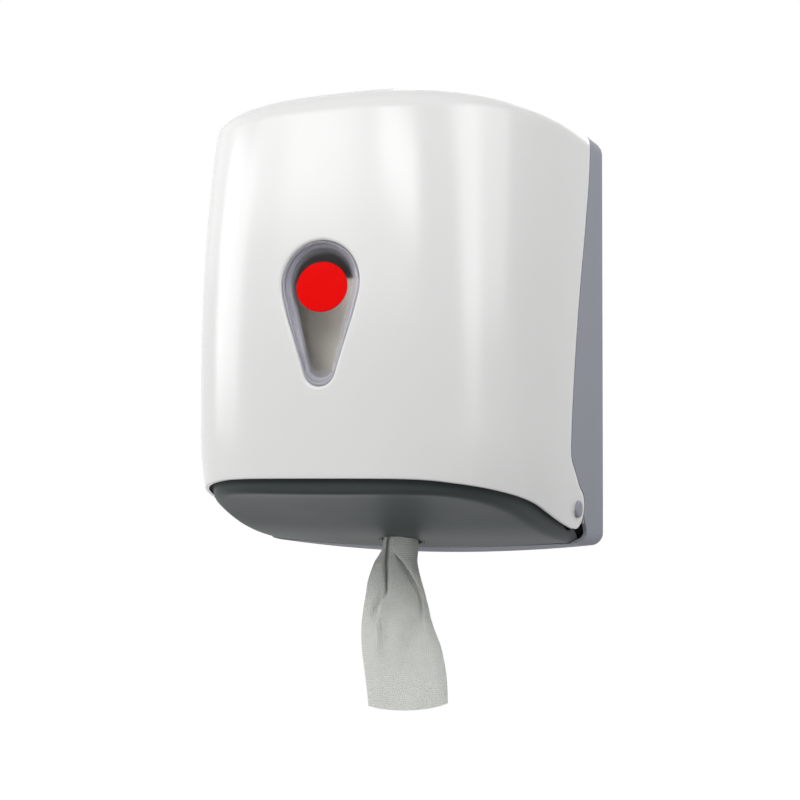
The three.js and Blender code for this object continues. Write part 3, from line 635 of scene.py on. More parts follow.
def body_shape(name, inset, rise, back_out, level_top, rounded_top):
    """The outer form drawn in by inset, from so far out from the wall, above a lifted underside."""
    start = turn_at(back_out, 0.0, inset) if back_out else 0.0
    turn = np.concatenate([np.linspace(start, 1, body_columns), np.linspace(1, start, body_columns)[1:]])
    sign = np.concatenate([np.full(body_columns, -1), np.full(body_columns - 1, 1)])
    back_share = np.linspace(0, 1, back_columns)[1:-1, None]

    def closed(line):
        line = line * np.stack([sign, 0 * sign + 1, 0 * sign + 1], -1)
        back = line[-1] * (1 - back_share) + line[0] * back_share
        return np.concatenate([line, back])

    def ring(z, drawn):
        return closed(on_form(turn, z, drawn))

    out = -ring(0.0, inset)[:, 1]
    radius = (corner_radius - rise) * (1 - corner_shrink_share * out / depth)
    lowest = ring(under_at(half_width, out[: len(turn)], inset) + rise, inset)
    foot = under_at(lowest[:, 0], out, inset) + rise
    rings = []
    for share in np.linspace(0, 1, wall_rows):
        z = foot + radius + (level_top - foot - radius) * (1 - share)
        row = on_form(turn, z[: len(turn)], inset)
        rings.append(np.column_stack([closed(row)[:, :2], z]))
    if rounded_top:
        over = []
        for angle in np.linspace(math.pi / 2, 0, round_rows)[:-1]:
            drawn = inset + (top_round_run - inset) * (1 - math.cos(angle))
            over.append(ring(level_top + (top_round_rise - inset) * math.sin(angle), drawn))
        rings = over + rings
    cap = rings[0]
    for angle in np.linspace(0, math.pi / 2, corner_rows)[1:]:
        drawn = radius[: len(turn)] * (1 - math.cos(angle))
        row = closed(on_form(turn, rings[-1][: len(turn), 2], inset + drawn))
        z = under_at(row[:, 0], -row[:, 1], inset) + rise + radius * (1 - math.sin(angle))
        rings.append(np.column_stack([row[:, :2], z]))
    edge = rings[-1]
    centre = np.array([0, -under_centre])
    for share in np.linspace(0, 1, floor_rows)[1:]:
        flat = edge[:, :2] * (1 - share) + centre * share
        rings.append(np.column_stack([flat, under_at(flat[:, 0], -flat[:, 1], inset) + rise]))
    return Skin().ring_cap(cap).patch(np.array(rings), around=True).object(name)


print("a body's rings have", 2 * body_columns - 1 + back_columns - 2, "points")

# %% Cutters
overrun = 40 * mm  # how far the cutters run past the dispenser
cutter_reach_share = 1.2  # how far they run to each side, as a share of the half width


def plate_of(line, start_x, end_x, name):
    """A side curve's closed outline, run across from one x to another."""
    ends = [np.stack([np.full(len(line), x), -line[:, 0], line[:, 1]], -1) for x in (start_x, end_x)]
    return solid_through(ends, name)


def side_cutter(line):
    reach = cutter_reach_share * half_width
    return plate_of(line, -reach, reach, "cutter")


def boolean(piece, tool, operation):
    """Cuts or trims a piece with a tool, which is used up."""
    modifier = piece.modifiers.new("cut", "BOOLEAN")
    modifier.object = tool
    modifier.operation = operation
    modifier.solver = "EXACT"
    depsgraph = bpy.context.evaluated_depsgraph_get()
    cut = bpy.data.meshes.new_from_object(piece.evaluated_get(depsgraph))
    piece.modifiers.clear()
    piece.data = cut
    bpy.data.objects.remove(tool)
    return piece


print("cutters run past by", overrun / mm, "mm")

# %% [markdown]
# The housing is screwed to the wall and carries everything else. Its front edge follows the cover's
# rear edge at a narrow seam, goes round the hinge lug, and ends in an S where the tray begins.

# %% The housing's side
housing_wall = 2.8 * mm
seam_points = 26
rear_edge_points = 90
housing_arc = (60, -18)  # degrees round the pin, from the rear edge to the seam
seam = spline(seam_shares, seam_points) * (depth, height)
housing_side = np.concatenate([
    [(-overrun, -overrun), (-overrun, height + overrun)],
    even_steps(rear_edge - (seam_gap, 0), rear_edge_points)[::-1],
    pin_arc(lug_radius + lug_clearance, *housing_arc), seam, [(seam[-1, 0], -overrun)],
])
print("housing outline of", len(housing_side), "points")


# %% Bars and blocks
block_round = 0.5 * mm


def turned(profile, sides, name):
    """A closed shape turned about the Z axis from (radius, height) points, first to last."""
    angle = full_turn(sides)
    rings = [
        np.stack([radius * np.cos(angle), radius * np.sin(angle), np.full(sides, level)], -1)
        for radius, level in profile
    ]
    return tube_through(rings, name)


def rod(start, end, radius, sides=24):
    """A closed round bar from one point to another."""
    start, end = np.array(start), np.array(end)
    length = float(np.linalg.norm(end - start))
    bar = turned([(0, 0), (radius, 0), (radius, length), (0, length)], sides, "rod")
    z = (end - start) / length
    x = np.cross(z, (0, 0, 1) if abs(z[2]) < 0.9 else (1, 0, 0))
    x /= np.linalg.norm(x)
    y = np.cross(z, x)
    place = Matrix([[x[i], y[i], z[i], start[i]] for i in range(3)] + [[0, 0, 0, 1]])
    bar.data.transform(place)
    return bar


def block(low, high):
    """A box between two corners with its edges rounded."""
    shape = bmesh.new()
    bmesh.ops.create_cube(shape, size=1)
    low, high = np.array(low), np.array(high)
    for vertex in shape.verts:
        vertex.co = low + (np.array(vertex.co) + 0.5) * (high - low)
    bmesh.ops.bevel(shape, geom=shape.edges, offset=block_round, segments=3, affect="EDGES", profile=0.5)
    mesh = bpy.data.meshes.new("block")
    shape.to_mesh(mesh)
    shape.free()
    return add_object("block", mesh)


print("blocks are rounded by", block_round / mm, "mm")

# %% [markdown]
# Inside, the housing has four ribs on its back, and at each side a round-ended ear that holds the
# hinge pin and stands on two ribs of the side wall. Posts at the foot take the tray's screws. They
# are closed bodies that only overlap the shell, which is enough where nobody sees the join.

# %% The housing's inner parts
wall_hole_radius = 3 * mm
wall_hole_aside_share = 0.6
wall_hole_height_shares = (0.2, 0.82)
wall_holes = [
    (side * wall_hole_aside_share * half_width, share * height)
    for side in (-1, 1) for share in wall_hole_height_shares
]
back_rib_wall = 2.4 * mm
back_rib_depth = 3 * mm
back_rib_aside_shares = (-0.46, -0.16, 0.16, 0.46)
back_rib_low_share = 0.14
back_rib_high_share = 0.8
ear_wall = 3 * mm
ear_gap = 0.6 * mm
ear_radius = 11.5 * mm
ear_root_out = 20 * mm
ear_outer = boss_face - ear_gap
ear_inner = ear_outer - ear_wall
tray_wall = 2.6 * mm
tray_ear_z = 19 * mm
tray_screw_out = 30 * mm
tray_screw_shares = (-0.72, -0.3, 0.3, 0.72)
tray_screws = [share * half_width for share in tray_screw_shares]
post_radius = 4.5 * mm


def housing_ribs():
    wall = back_rib_wall / 2
    return [
        block(
            (share * half_width - wall, -housing_wall - back_rib_depth, back_rib_low_share * height),
            (share * half_width + wall, -housing_wall / 2, back_rib_high_share * height),
        )
        for share in back_rib_aside_shares
    ]


def hinge_ear(side):
    """A round-ended plate that carries the pin, on two ribs of the housing's side wall."""
    root = [(ear_root_out, pin_z + ear_radius), (ear_root_out, pin_z - ear_radius)]
    outline = np.concatenate([pin_arc(ear_radius, -90, -270, 24), root])
    plate = plate_of(outline, side * ear_inner, side * ear_outer, "ear")
    foot_out = pin_out - lug_radius - lug_clearance - ear_wall
    ribs = []
    for out in (ear_root_out, foot_out):
        wall = half_width_at(out, pin_z, housing_wall / 2)
        low = (min(side * ear_inner, side * wall), -out - ear_wall, pin_z - ear_radius)
        high = (max(side * ear_inner, side * wall), -out, pin_z + ear_radius)
        ribs.append(block(low, high))
    return [plate, *ribs]


def screw_post(x):
    low = under_at(x, tray_screw_out) + housing_wall / 2
    top = tray_ear_z - tray_wall - fit_gap
    return rod((x, -tray_screw_out, low), (x, -tray_screw_out, top), post_radius)


print("wall holes at", [(round(x / mm, 1), round(z / mm, 1)) for x, z in wall_holes])


# %% The housing
def housing_shape():
    shell = body_shape("housing_shell", 0, 0, 0, wall_top, True)
    boolean(shell, side_cutter(housing_side), "INTERSECT")
    room = body_shape("room", housing_wall, housing_wall, housing_wall, wall_top, True)
    boolean(shell, room, "DIFFERENCE")
    for x, z in wall_holes:
        boolean(shell, rod((x, -overrun, z), (x, overrun, z), wall_hole_radius), "DIFFERENCE")
    posts = [screw_post(x) for x in tray_screws]
    return join(shell, *housing_ribs(), *hinge_ear(1), *hinge_ear(-1), *posts)


housing = settle(housing_shape(), "wall_body", "housing_plastic", "rear_housing")

# %% [markdown]
# The tray closes the bottom. Its rim stands a little inside the cover's lower edge, so a dark line
# runs below the white one. Six ribs inside carry the roll, and a hole in the floor takes the funnel
# that lets the paper through.

# %% The tray's side
tray_inset = 5.2 * mm
tray_rise = 3.6 * mm
seam_start = 10  # the first point of the seam that the tray's rear edge follows
tray_arc = (-150, -60)  # degrees round the pin, from the rim to the seam
rim_points = 70
seam_front = seam + (2 * fit_gap, 0)
rim_curve = even_steps(lower_edge, rim_points)
rim_curve = rim_curve[rim_curve[:, 0] > pin_out + lug_radius + 2 * lug_clearance] + (0, tray_rise)
tray_side = np.concatenate([
    seam_front[seam_start:], [(seam_front[-1, 0], -overrun), (depth + overrun, -overrun)],
    rim_curve[::-1], pin_arc(lug_radius + lug_clearance, *tray_arc),
])
print("tray rim from", rim_curve[0].round(4), "to", rim_curve[-1].round(4))

# %% The tray's inner parts
roll_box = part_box("paper_roll")
roll_floor_z = roll_box[0].z
roll_radius = (roll_box[1].x - roll_box[0].x) / 2
roll_out, _ = middle_of(roll_box)
roll_rib_wall = 2.4 * mm
roll_rib_start = 32.4 * mm
roll_rib_count = 6
roll_rib_sections = 18
back_wall_sections = 40
tray_ear_reach = 7.5 * mm
tray_screw_bore = 2 * mm


def back_wall():
    """The tray's upright rear wall, from its floor up to the ears."""
    back = seam_front[-1, 0]
    reach = max(tray_screws) + tray_ear_reach
    sections = []
    for x in np.linspace(-reach, reach, back_wall_sections):
        low = under_at(x, back, tray_inset) + tray_wall / 2
        corners = ((back + tray_wall, low), (back, low), (back, tray_ear_z), (back + tray_wall, tray_ear_z))
        sections.append([(x, -out, z) for out, z in corners])
    return solid_through(sections, "back_wall")


def tray_ear(x):
    """A pierced ear that a screw holds on the housing's post."""
    low = (x - tray_ear_reach, -seam_front[-1, 0] - tray_wall, tray_ear_z - tray_wall)
    high = (x + tray_ear_reach, -tray_screw_out + tray_ear_reach, tray_ear_z)
    hole = rod((x, -tray_screw_out, 0), (x, -tray_screw_out, overrun), tray_screw_bore)
    return boolean(block(low, high), hole, "DIFFERENCE")


def roll_rib(angle):
    """A rib that the roll stands on, from the outlet outwards and down to the tray's floor."""
    top = roll_floor_z - fit_gap
    way = np.array([math.cos(angle), math.sin(angle)])
    aside = np.array([-way[1], way[0]]) * roll_rib_wall / 2
    reach = np.linspace(roll_rib_start, roll_radius - roll_rib_wall, roll_rib_sections)
    middle = np.array([0, -roll_out]) + way * reach[:, None]
    middle = middle[-middle[:, 1] > seam_front[-1, 0] + tray_wall]
    floor = under_at(middle[:, 0], -middle[:, 1], tray_inset) + tray_wall / 2
    sections = []
    for point, low in zip(middle, floor):
        left, right = point - aside, point + aside
        sections.append([(*left, low), (*right, low), (*right, top), (*left, top)])
    return solid_through(sections, "rib")


print("roll stands", round(roll_floor_z / mm, 1), "mm up, with a radius of", round(roll_radius / mm, 1))

# %% The tray
tray_level = 75 * mm  # the body's top, above the highest point of the rim
outlet_out, _ = middle_of(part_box("outlet_nozzle"))
outlet_bore = 16 * mm
nozzle_wall = 2 * mm


def tray_shape():
    shell = body_shape("tray_shell", tray_inset, 0, 0, tray_level, False)
    room = body_shape("room", tray_inset + tray_wall, tray_wall, 0, tray_level + overrun, False)
    boolean(shell, room, "DIFFERENCE")
    boolean(shell, side_cutter(tray_side), "INTERSECT")
    bore_radius = outlet_bore + nozzle_wall + fit_gap
    bore = rod((0, -outlet_out, -overrun), (0, -outlet_out, overrun), bore_radius, 64)
    boolean(shell, bore, "DIFFERENCE")
    wall = back_wall()
    ears = [tray_ear(x) for x in tray_screws]
    ribs = [roll_rib(2 * math.pi * index / roll_rib_count) for index in range(roll_rib_count)]
    return join(shell, wall, *ears, *ribs)


tray = settle(tray_shape(), "wall_body", "tray_plastic", "bottom_tray")

# %% [markdown]
# The nozzle is a smooth funnel that drops into the tray from above and hangs on its flange. The
# paper rubs on it, so every edge is round. It is turned like a vase, except that its lower lip
# follows the tray's curved underside.

# %% The nozzle
nozzle_flange = 25 * mm
nozzle_seat_z = 16 * mm
nozzle_flange_wall = 2.4 * mm
nozzle_flange_round = 0.6 * mm
nozzle_proud = 0.2 * mm
lip_round = 0.7 * mm
lip_drop = 1.2 * lip_round
throat_round = 1.5 * mm
mouth_flare = 5 * mm
nozzle_sides = 72
lip_profile = [
    (outlet_bore + nozzle_wall, 0), (outlet_bore + nozzle_wall - lip_round / 3, -lip_round),
    (outlet_bore + nozzle_wall / 2, -lip_drop), (outlet_bore + lip_round / 3, -lip_round), (outlet_bore, 0),
]


def nozzle_shape():
    """A funnel whose lower lip follows the underside."""
    seat = nozzle_seat_z + fit_gap
    top = seat + nozzle_flange_wall
    angle = full_turn(nozzle_sides)
    way = np.stack([np.cos(angle), np.sin(angle)], -1)
    rings = []
    for radius, level in lip_profile:
        flat = way * radius + (0, -outlet_out)
        lowest = under_at(flat[:, 0], -flat[:, 1]) - nozzle_proud
        rings.append(np.column_stack([flat, lowest + lip_drop + level]))
    funnel_profile = [
        (outlet_bore, nozzle_seat_z - throat_round),
        (outlet_bore + 0.8 * throat_round, nozzle_seat_z + 0.4 * throat_round),
        (outlet_bore + mouth_flare, top), (nozzle_flange - nozzle_flange_round, top),
        (nozzle_flange, top - nozzle_flange_round), (nozzle_flange, seat), (outlet_bore + nozzle_wall, seat),
    ]
    for radius, level in funnel_profile:
        flat = way * radius + (0, -outlet_out)
        rings.append(np.column_stack([flat, np.full(nozzle_sides, level)]))
    rings.append(rings[0])
    return tube_through(rings, "nozzle_funnel")


nozzle = settle(nozzle_shape(), "wall_body", "tray_plastic", "outlet_nozzle")

# %% [markdown]
# The window is one clear moulding: a flange behind the cover, a rim that nearly fills the drop, and
# a bevel down to the sunk pane. Its cross-section is a short line of offsets and depths, carried
# round the drop outline, with the pane's two faces filled by rings that shrink to the middle.

# %% The window's cross-section
pane_deep = 4.6 * mm
pane_wall = 1.8 * mm
pane_middle_z = window_z - 14 * mm
bevel_section = [(-6.8, 4.6), (-6.5, 4.5), (-5.9, 4.05), (-3.3, 2.05), (-2.7, 1.6), (-2.1, 1.28)]
rim_section = [(-1.9, 1.25), (-1.0, 1.25), (-0.6, 1.4), (-0.3, 1.7), (-0.3, 2.9)]
flange_section = [(4.3, 2.9), (4.5, 3.1), (4.5, 4.5), (4.3, 4.7), (-2.2, 4.7)]
back_section = [(-4.6, 6.2), (-5.4, 6.4)]
lens_section = np.array([*bevel_section, *rim_section, *flange_section, *back_section]) * mm
drop_turn = full_turn(144)
print("window is", round(float(np.ptp(lens_section[:, 1])) / mm, 2), "mm deep from its rim to its back")

# %% [markdown]
# The real bevel looks milky and streaked, because its slopes gather light from all round. Glass alone
# would show whatever the studio holds there. So that gathered light is painted: each point gets a
# number, rim, that says how strong a painted milky glow it gets, from a few values along the section,
# with painted shade that weakens it towards the top, where the real bevel lies in the shade. The clear
# material reads it later.

# %% The window
# painted glow for the light the bevel's slopes gather: its strength at each offset from the outline, in mm
painted_rim_glow = np.array([
    (-6.8, 0), (-6.5, 0.05), (-5.9, 0.75), (-3.3, 0.55), (-2.7, 0), (-2.1, 1), (-1.2, 1.1), (-0.7, 0.1),
    (-0.3, 0.3),
])
# painted shade: the share of the painted glow taken off at the top of the window
painted_top_shade_share = 0.35


def pane_rings(offset, deep, count=9):
    """Rings of one face of the pane, from its edge to its middle."""
    edge = drop_outline(drop_turn, offset)
    middle = np.array([0, pane_middle_z])
    flat = [edge * (1 - share) + middle * share for share in np.linspace(0, 1, count)]
    return np.array([front_at(line[:, 0], line[:, 1], deep) for line in flat])


def paint_rim_glow(piece):
    """Paints a milky glow for the light the bevel gathers at each point: by its offset from the outline, and
    less towards the top as painted shade.
    """
    edges = [drop_outline(drop_turn, offset) - (0, window_z) for offset in painted_rim_glow[:, 0] * mm]
    edges = np.linalg.norm(edges, axis=2)
    mask = piece.data.attributes.new("rim", "FLOAT", "POINT")
    for index, vertex in enumerate(piece.data.vertices):
        aside, up = vertex.co.x, vertex.co.z - window_z
        turn = math.atan2(up, aside) % (2 * math.pi)
        limits = [np.interp(turn, drop_turn, edge, period=2 * math.pi) for edge in edges]
        # painted shade: less painted glow towards the top
        shade = 1 - painted_top_shade_share * max(math.sin(turn), 0)
        mask.data[index].value = shade * np.interp(math.hypot(aside, up), limits, painted_rim_glow[:, 1])


def lens_shape():
    section = [drop_ring(drop_turn, offset, deep) for offset, deep in lens_section]
    skin = Skin().patch(np.array(section), around=True)
    skin.patch(pane_rings(lens_section[0, 0], pane_deep), around=True)
    skin.patch(pane_rings(lens_section[-1, 0], pane_deep + pane_wall), around=True)
    made = skin.object("window_pane")
    paint_rim_glow(made)
    return made


lens = settle(lens_shape(), "cover", "clear_plastic", "window_lens")

# %% [markdown]
# A round red sticker sits on the pane. It is a thin oval that is wrapped onto the same form as the
# pane, a little proud of it, with a soft edge. A flat disc would cut into the curved pane.

# %% The red disc
badge_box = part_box("window_badge")
badge_wide = (badge_box[1].x - badge_box[0].x) / 2
badge_tall = (badge_box[1].z - badge_box[0].z) / 2
_, badge_z = middle_of(badge_box)
badge_seat = pane_deep - 0.05 * mm
badge_face = pane_deep - 0.5 * mm
badge_edge = 0.2 * mm
badge_face_share = 0.98  # the first ring of the flat face inside the soft edge
badge_sides = 72
badge_rings = 6


def badge_shape():
    angle = full_turn(badge_sides)

    def oval(share, deep):
        x, up = share * badge_wide * np.cos(angle), share * badge_tall * np.sin(angle)
        return front_at(x, badge_z + up, deep)

    rings = [oval(share, badge_seat) for share in np.linspace(0, 1, badge_rings)]
    rings += [oval(1, badge_face + badge_edge), oval(1 - badge_edge / badge_wide, badge_face)]
    rings += [oval(share, badge_face) for share in np.linspace(badge_face_share, 0, badge_rings)]
    return tube_through(rings, "badge_disc")


badge = settle(badge_shape(), "cover", "red_film", "window_badge")

# %% [markdown]
# Each hinge pin ends in a low domed head. A dome is a profile turned about its axis: a flat middle,
# an arc down to the edge, and the shank behind.

# %% Hinge pins
head_radius = (pin_box[1].z - pin_box[0].z) / 2
head_face = pin_box[1].x
head_low = head_face - 3 * mm
dome_height = 1.5 * mm
dome_draw_share = 0.34  # how much of the head's radius the dome draws in
shank_radius = 4 * mm
shank_end = pin_box[0].x
shank_round = 0.5 * mm
pin_sides = 48
dome_rings = 8


def pin_shape(side):
    """A pin made upright, then laid so that its head points out to one side."""
    arc = [
        (head_radius * (1 - dome_draw_share * (1 - math.cos(angle))),
         head_face - dome_height * (1 - math.sin(angle)))
        for angle in np.linspace(0, math.pi / 2, dome_rings)
    ]
    profile = [
        (0, shank_end), (shank_radius - shank_round, shank_end), (shank_radius, shank_end + shank_round),
        (shank_radius, head_low), (head_radius, head_low), *arc, (0, head_face),
    ]
    pin = turned(profile, pin_sides, "pin_right" if side > 0 else "pin_left")
    pin.data.transform(Matrix.Rotation(math.radians(90 * side), 4, "Y"))
    pin.data.transform(Matrix.Translation((0, -pin_out, pin_z)))
    return pin


for side, node in ((1, "hinge_pin_right"), (-1, "hinge_pin_left")):
    settle(pin_shape(side), "wall_body", "housing_plastic", node)

# %% [markdown]
# The roll stands on the tray's ribs, and its paper is drawn from the inside, so it has an open core
# without a tube. It is a turned ring with soft edges, since wound paper has no sharp ones.

# %% The roll
roll_bore = 30 * mm
roll_edge = 3 * mm
roll_edge_rings = 7
roll_sides = 160


def roll_shape():
    low, high, soft = roll_floor_z, roll_box[1].z, roll_edge
    angles = np.linspace(0, math.pi / 2, roll_edge_rings)
    arc = [(soft - soft * math.cos(angle), soft - soft * math.sin(angle)) for angle in angles]
    profile = [(roll_bore, low)]
    profile += [(roll_radius - s, low + c) for c, s in arc]
    profile += [(roll_radius - c, high - s) for c, s in arc]
    profile += [(roll_bore, high), (roll_bore, low)]
    ring = turned(profile, roll_sides, "wound_roll")
    ring.data.transform(Matrix.Translation((0, -roll_out, 0)))
    return ring


roll = settle(roll_shape(), "wall_body", "paper", "paper_roll")

# %% [markdown]
# The paper that hangs out is one sheet, gathered in the nozzle and opening towards its free end. It
# could be simulated, but a sheet pulled by hand keeps creases that a simulation smooths away. So it
# is drawn: at a few heights, points across the sheet say how it folds, and smooth curves run
# through them both ways. Each point is a distance to the right and a distance forward in the
# photograph. From the back, the sheet runs round its left edge, over the front with its creases,
# doubles back under a flap, and ends behind the right edge.

# %% The hanging sheet's folds
fold_heights = [62, 20, -2, -12, -26, -36, -47, -60, -78, -101, -125.5]
fold_points = [
    [(10, -22), (-14, -18), (-24, -2), (-22, 8), (-18, 12), (-15, 9), (-11, 15),
     (-5, 18), (2, 12), (8, 10), (3, 17), (10, 18), (21, 6), (16, -12)],
    [(2, -9), (-8, -8), (-14, 0), (-13, 4), (-11, 5), (-9.5, 1), (-8, 6),
     (-5, 7), (-4, 3), (1, 1), (-6, 9), (4, 11), (13.5, 3), (7, -8)],
    [(2, -11), (-9, -9), (-15.5, 0), (-14.5, 4), (-13, 5), (-11.5, 0), (-9.5, 6),
     (-6, 7), (-5, 3), (1, 1), (-7.5, 9), (4, 11), (13, 3), (7, -9)],
    [(4, -11), (-12, -9), (-21.5, 0), (-17, 6), (-14.6, 6.5), (-12.4, 0.5), (-10, 7),
     (-4, 8), (1, 4), (7, 2.5), (1.4, 10), (7, 11), (12.4, 4), (7, -9)],
    [(6, -12), (-14, -10), (-26.3, -1), (-21, 6), (-14.5, 7.5), (-12, 1.5), (-9.5, 8.5),
     (0, 9.5), (8, 4), (12.5, 3), (9.8, 10), (12.5, 10.5), (15.2, 4.5), (9, -9)],
    [(8, -12), (-15, -10), (-28, -1), (-22, 6), (-15, 8), (-12.5, 5), (-9.5, 9),
     (0, 10.5), (10, 6), (13.5, 4), (15.2, 8.5), (16.8, 8), (18, 3.5), (12, -9)],
    [(10, -12), (-16, -10), (-29.8, -1), (-24, 6), (-20, 3.8), (-16.5, 8.8), (-10, 8.6),
     (2, 11), (11, 10), (14.8, 5.6), (17.2, 9.8), (19, 7), (20.8, 2.5), (14, -9)],
    [(12, -12), (-16, -10), (-31.3, -1), (-26, 5), (-19, 8.3), (-15, 6), (-8, 10),
     (1, 11), (9, 8.6), (13.5, 7.8), (17, 9.8), (20.5, 8), (24, 2), (17, -9)],
    [(15, -12), (-16, -10), (-31.3, -1), (-26, 5.5), (-19, 8.8), (-14.5, 6.8), (-8, 10),
     (0, 10.3), (5, 8.8), (10, 9.6), (17, 10.6), (24, 8.5), (30.6, 1), (24, -9)],
    [(18, -11), (-12, -10), (-28.6, -1), (-23, 5.5), (-17, 8.3), (-12, 8), (-6, 9.5),
     (0, 9.4), (5, 9.1), (11, 10), (19, 10.4), (28, 7.8), (35, 0), (28, -8)],
    [(20, -10), (-8, -9), (-25.8, -1), (-21, 5), (-15, 7.6), (-10, 8.6), (-5, 9),
     (0, 9.2), (6, 9.6), (12, 9.8), (20, 9.2), (29, 6.5), (36.2, 0), (30, -7)],
]
print("folds at", len(fold_heights), "heights, with", len(fold_points[0]), "points across")

# %% [markdown]
# Splines run down the sheet through the points of the same number, and then across it through what
# they give at each height. Equal steps across keep the faces even. Because the sheet is gathered
# at its top, its sides are drawn up a little, and the middle of the free end hangs lowest.

# %% The sheet's rows
sheet_columns = 170
sheet_rows = 150
sheet_droop = 3.5 * mm  # how much lower the middle of the free end hangs
sheet_reach = 31 * mm  # from the middle of the free end to its corners
sheet_hang = 129 * mm


def sheet_points():
    """Rows of points of the sheet from inside the roll down to the free end."""
    table = np.array(fold_points, float)
    between = [spline(table[:, index], sheet_rows) for index in range(table.shape[1])]
    count = len(fold_heights)
    heights = np.interp(np.linspace(0, count - 1, sheet_rows), range(count), fold_heights)
    rows = []
    for height_here, line in zip(heights * mm, np.stack(between, 1)):
        right, forward = even_steps(spline(line * mm, 3 * sheet_columns), sheet_columns).T
        x = right * math.cos(camera_turn) + forward * math.sin(camera_turn)
        y = right * math.sin(camera_turn) - forward * math.cos(camera_turn) - outlet_out
        end_share = np.clip(-height_here / sheet_hang, 0, 1) ** 3
        z = height_here + sheet_droop * end_share * ((right / sheet_reach) ** 2 - 0.5)
        rows.append(np.stack([x, y, z], -1))
    return np.array(rows)


rows = sheet_points()
print("sheet grid", rows.shape)

# %% The hanging sheet
sheet_wall = 0.3 * mm
sheet_weld = 0.001 * mm


def sheet_shape():
    """The sheet, with each point's place on the flat paper kept for the embossing."""
    made = Skin().patch(rows).object("hanging_sheet", weld=sheet_weld)
    across_steps = np.linalg.norm(np.diff(rows, axis=1), axis=2).cumsum(1)
    down_steps = np.linalg.norm(np.diff(rows, axis=0), axis=2).cumsum(0)
    flat_across = np.concatenate([np.zeros((len(rows), 1)), across_steps], 1)
    flat_down = np.concatenate([np.zeros((1, rows.shape[1])), down_steps], 0)
    for name, values in (("across", flat_across), ("down", flat_down)):
        layer = made.data.attributes.new(name, "FLOAT", "POINT")
        layer.data.foreach_set("value", values.ravel().astype("f"))
    thick = made.modifiers.new("thickness", "SOLIDIFY")
    thick.thickness = sheet_wall
    return made, (float(flat_across[:, -1].max()), float(flat_down[-1].max()))


tail, flat_size = sheet_shape()
settle(tail, "wall_body", "paper", "paper_tail")
print("sheet in mm", [round(side / mm, 1) for side in flat_size])

# %% [markdown]
# Materials are written as sums. A wire is the output of a shader node, and arithmetic on wires adds
# the Math nodes, so a finish reads like a formula. Everything that is the same all over a surface
# is set on the shader itself.

# %% Wires
class Wire:
    """An output socket that takes part in arithmetic."""

    def __init__(self, finish, socket):
        self.finish = finish
        self.socket = socket

    def math(self, operation, first, second):
        return self.finish.node("ShaderNodeMath", {"operation": operation}, {0: first, 1: second})

    def __add__(self, other):
        return self.math("ADD", self, other)

    def __sub__(self, other):
        return self.math("SUBTRACT", self, other)

    def __rsub__(self, other):
        return self.math("SUBTRACT", other, self)

    def __mul__(self, other):
        return self.math("MULTIPLY", self, other)

    def sine(self):
        return self.math("SINE", self, 0)

    __radd__ = __add__
    __rmul__ = __mul__


print("wires can be added, subtracted and multiplied")


# %% Trees and finishes
class Tree:
    """A node tree, and one method that adds any node to it."""

    def __init__(self, tree):
        self.tree = tree

    def node(self, kind, settings=None, inputs=None, output=0):
        made = self.tree.nodes.new(kind)
        for setting, value in (settings or {}).items():
            setattr(made, setting, value)
        for socket, value in (inputs or {}).items():
            if isinstance(value, Wire):
                self.tree.links.new(value.socket, made.inputs[socket])
            else:
                made.inputs[socket].default_value = value
        return Wire(self, made.outputs[output])


class Finish(Tree):
    """A material: its shader's fixed values, and the wires that vary the others."""

    def __init__(self, name, **fixed):
        self.material = bpy.data.materials.new(name)
        self.material.use_nodes = True
        super().__init__(self.material.node_tree)
        self.shader = self.tree.nodes["Principled BSDF"]
        for socket, value in fixed.items():
            self.shader.inputs[socket.replace("_", " ")].default_value = value

    def feed(self, **wires):
        for socket, wire in wires.items():
            self.tree.links.new(wire.socket, self.shader.inputs[socket.replace("_", " ")])
        return self.material

    def place(self):
        """Where a point lies on its piece, in metres."""
        return self.node("ShaderNodeTexCoord", output="Object")

    def noise(self, scale, detail, rough=0.5, where=None):
        """Uneven grey between 0 and 1."""
        inputs = {"Vector": where or self.place(), "Scale": scale, "Detail": detail, "Roughness": rough}
        return self.node("ShaderNodeTexNoise", {"noise_dimensions": "3D"}, inputs, output="Fac")

    def attribute(self, name):
        """A number that the mesh carries at its points."""
        return self.node("ShaderNodeAttribute", {"attribute_name": name}, output="Fac")

    def between(self, mask, dark, light):
        """A colour between two, by the mask."""
        inputs = {0: mask, 6: (*dark, 1), 7: (*light, 1)}
        return self.node("ShaderNodeMix", {"data_type": "RGBA"}, inputs, output=2)

    def bump(self, height, strength, distance):
        inputs = {"Height": height, "Strength": strength, "Distance": distance}
        return self.node("ShaderNodeBump", {}, inputs)


def dress(material, *pieces):
    for piece in pieces:
        piece.data.materials.clear()
        piece.data.materials.append(material)
    print(material.name, "on", ", ".join(piece.name for piece in pieces))


# %% [markdown]
# The cover comes from a polished mould, so it is nearly a mirror: low roughness, hardly any grain.
# One roughness all over would look like a drawing, so faint clouds vary it, and the colour too. The
# housing, the tray and the sticker's film differ from it in numbers only, so one recipe, which
# takes those numbers, makes them all.

# %% Cover plastic
def moulded_plastic(name, cloud, grain, dark, light, rough, bump, **fixed):
    """Noises come as scale and detail, rough as base and swing, bump as strength and distance."""
    finish = Finish(name, **fixed)
    clouds = finish.noise(*cloud)
    return finish.feed(
        Base_Color=finish.between(clouds, dark, light),
        Roughness=rough[0] + rough[1] * clouds,
        Normal=finish.bump(finish.noise(*grain), *bump),
    )


dress(moulded_plastic(
    "cover_plastic", cloud=(9, 4), grain=(900, 2), dark=(0.80, 0.80, 0.795), light=(0.825, 0.825, 0.82),
    rough=(0.19, 0.05), bump=(0.02, 0.0002), IOR=1.5, Specular_IOR_Level=0.5,
), cover)

# %% [markdown]
# The housing's mould is etched, which leaves a satin skin. Its fine grain scatters the light, and
# the low specular level keeps the white room from showing in it at a grazing view.

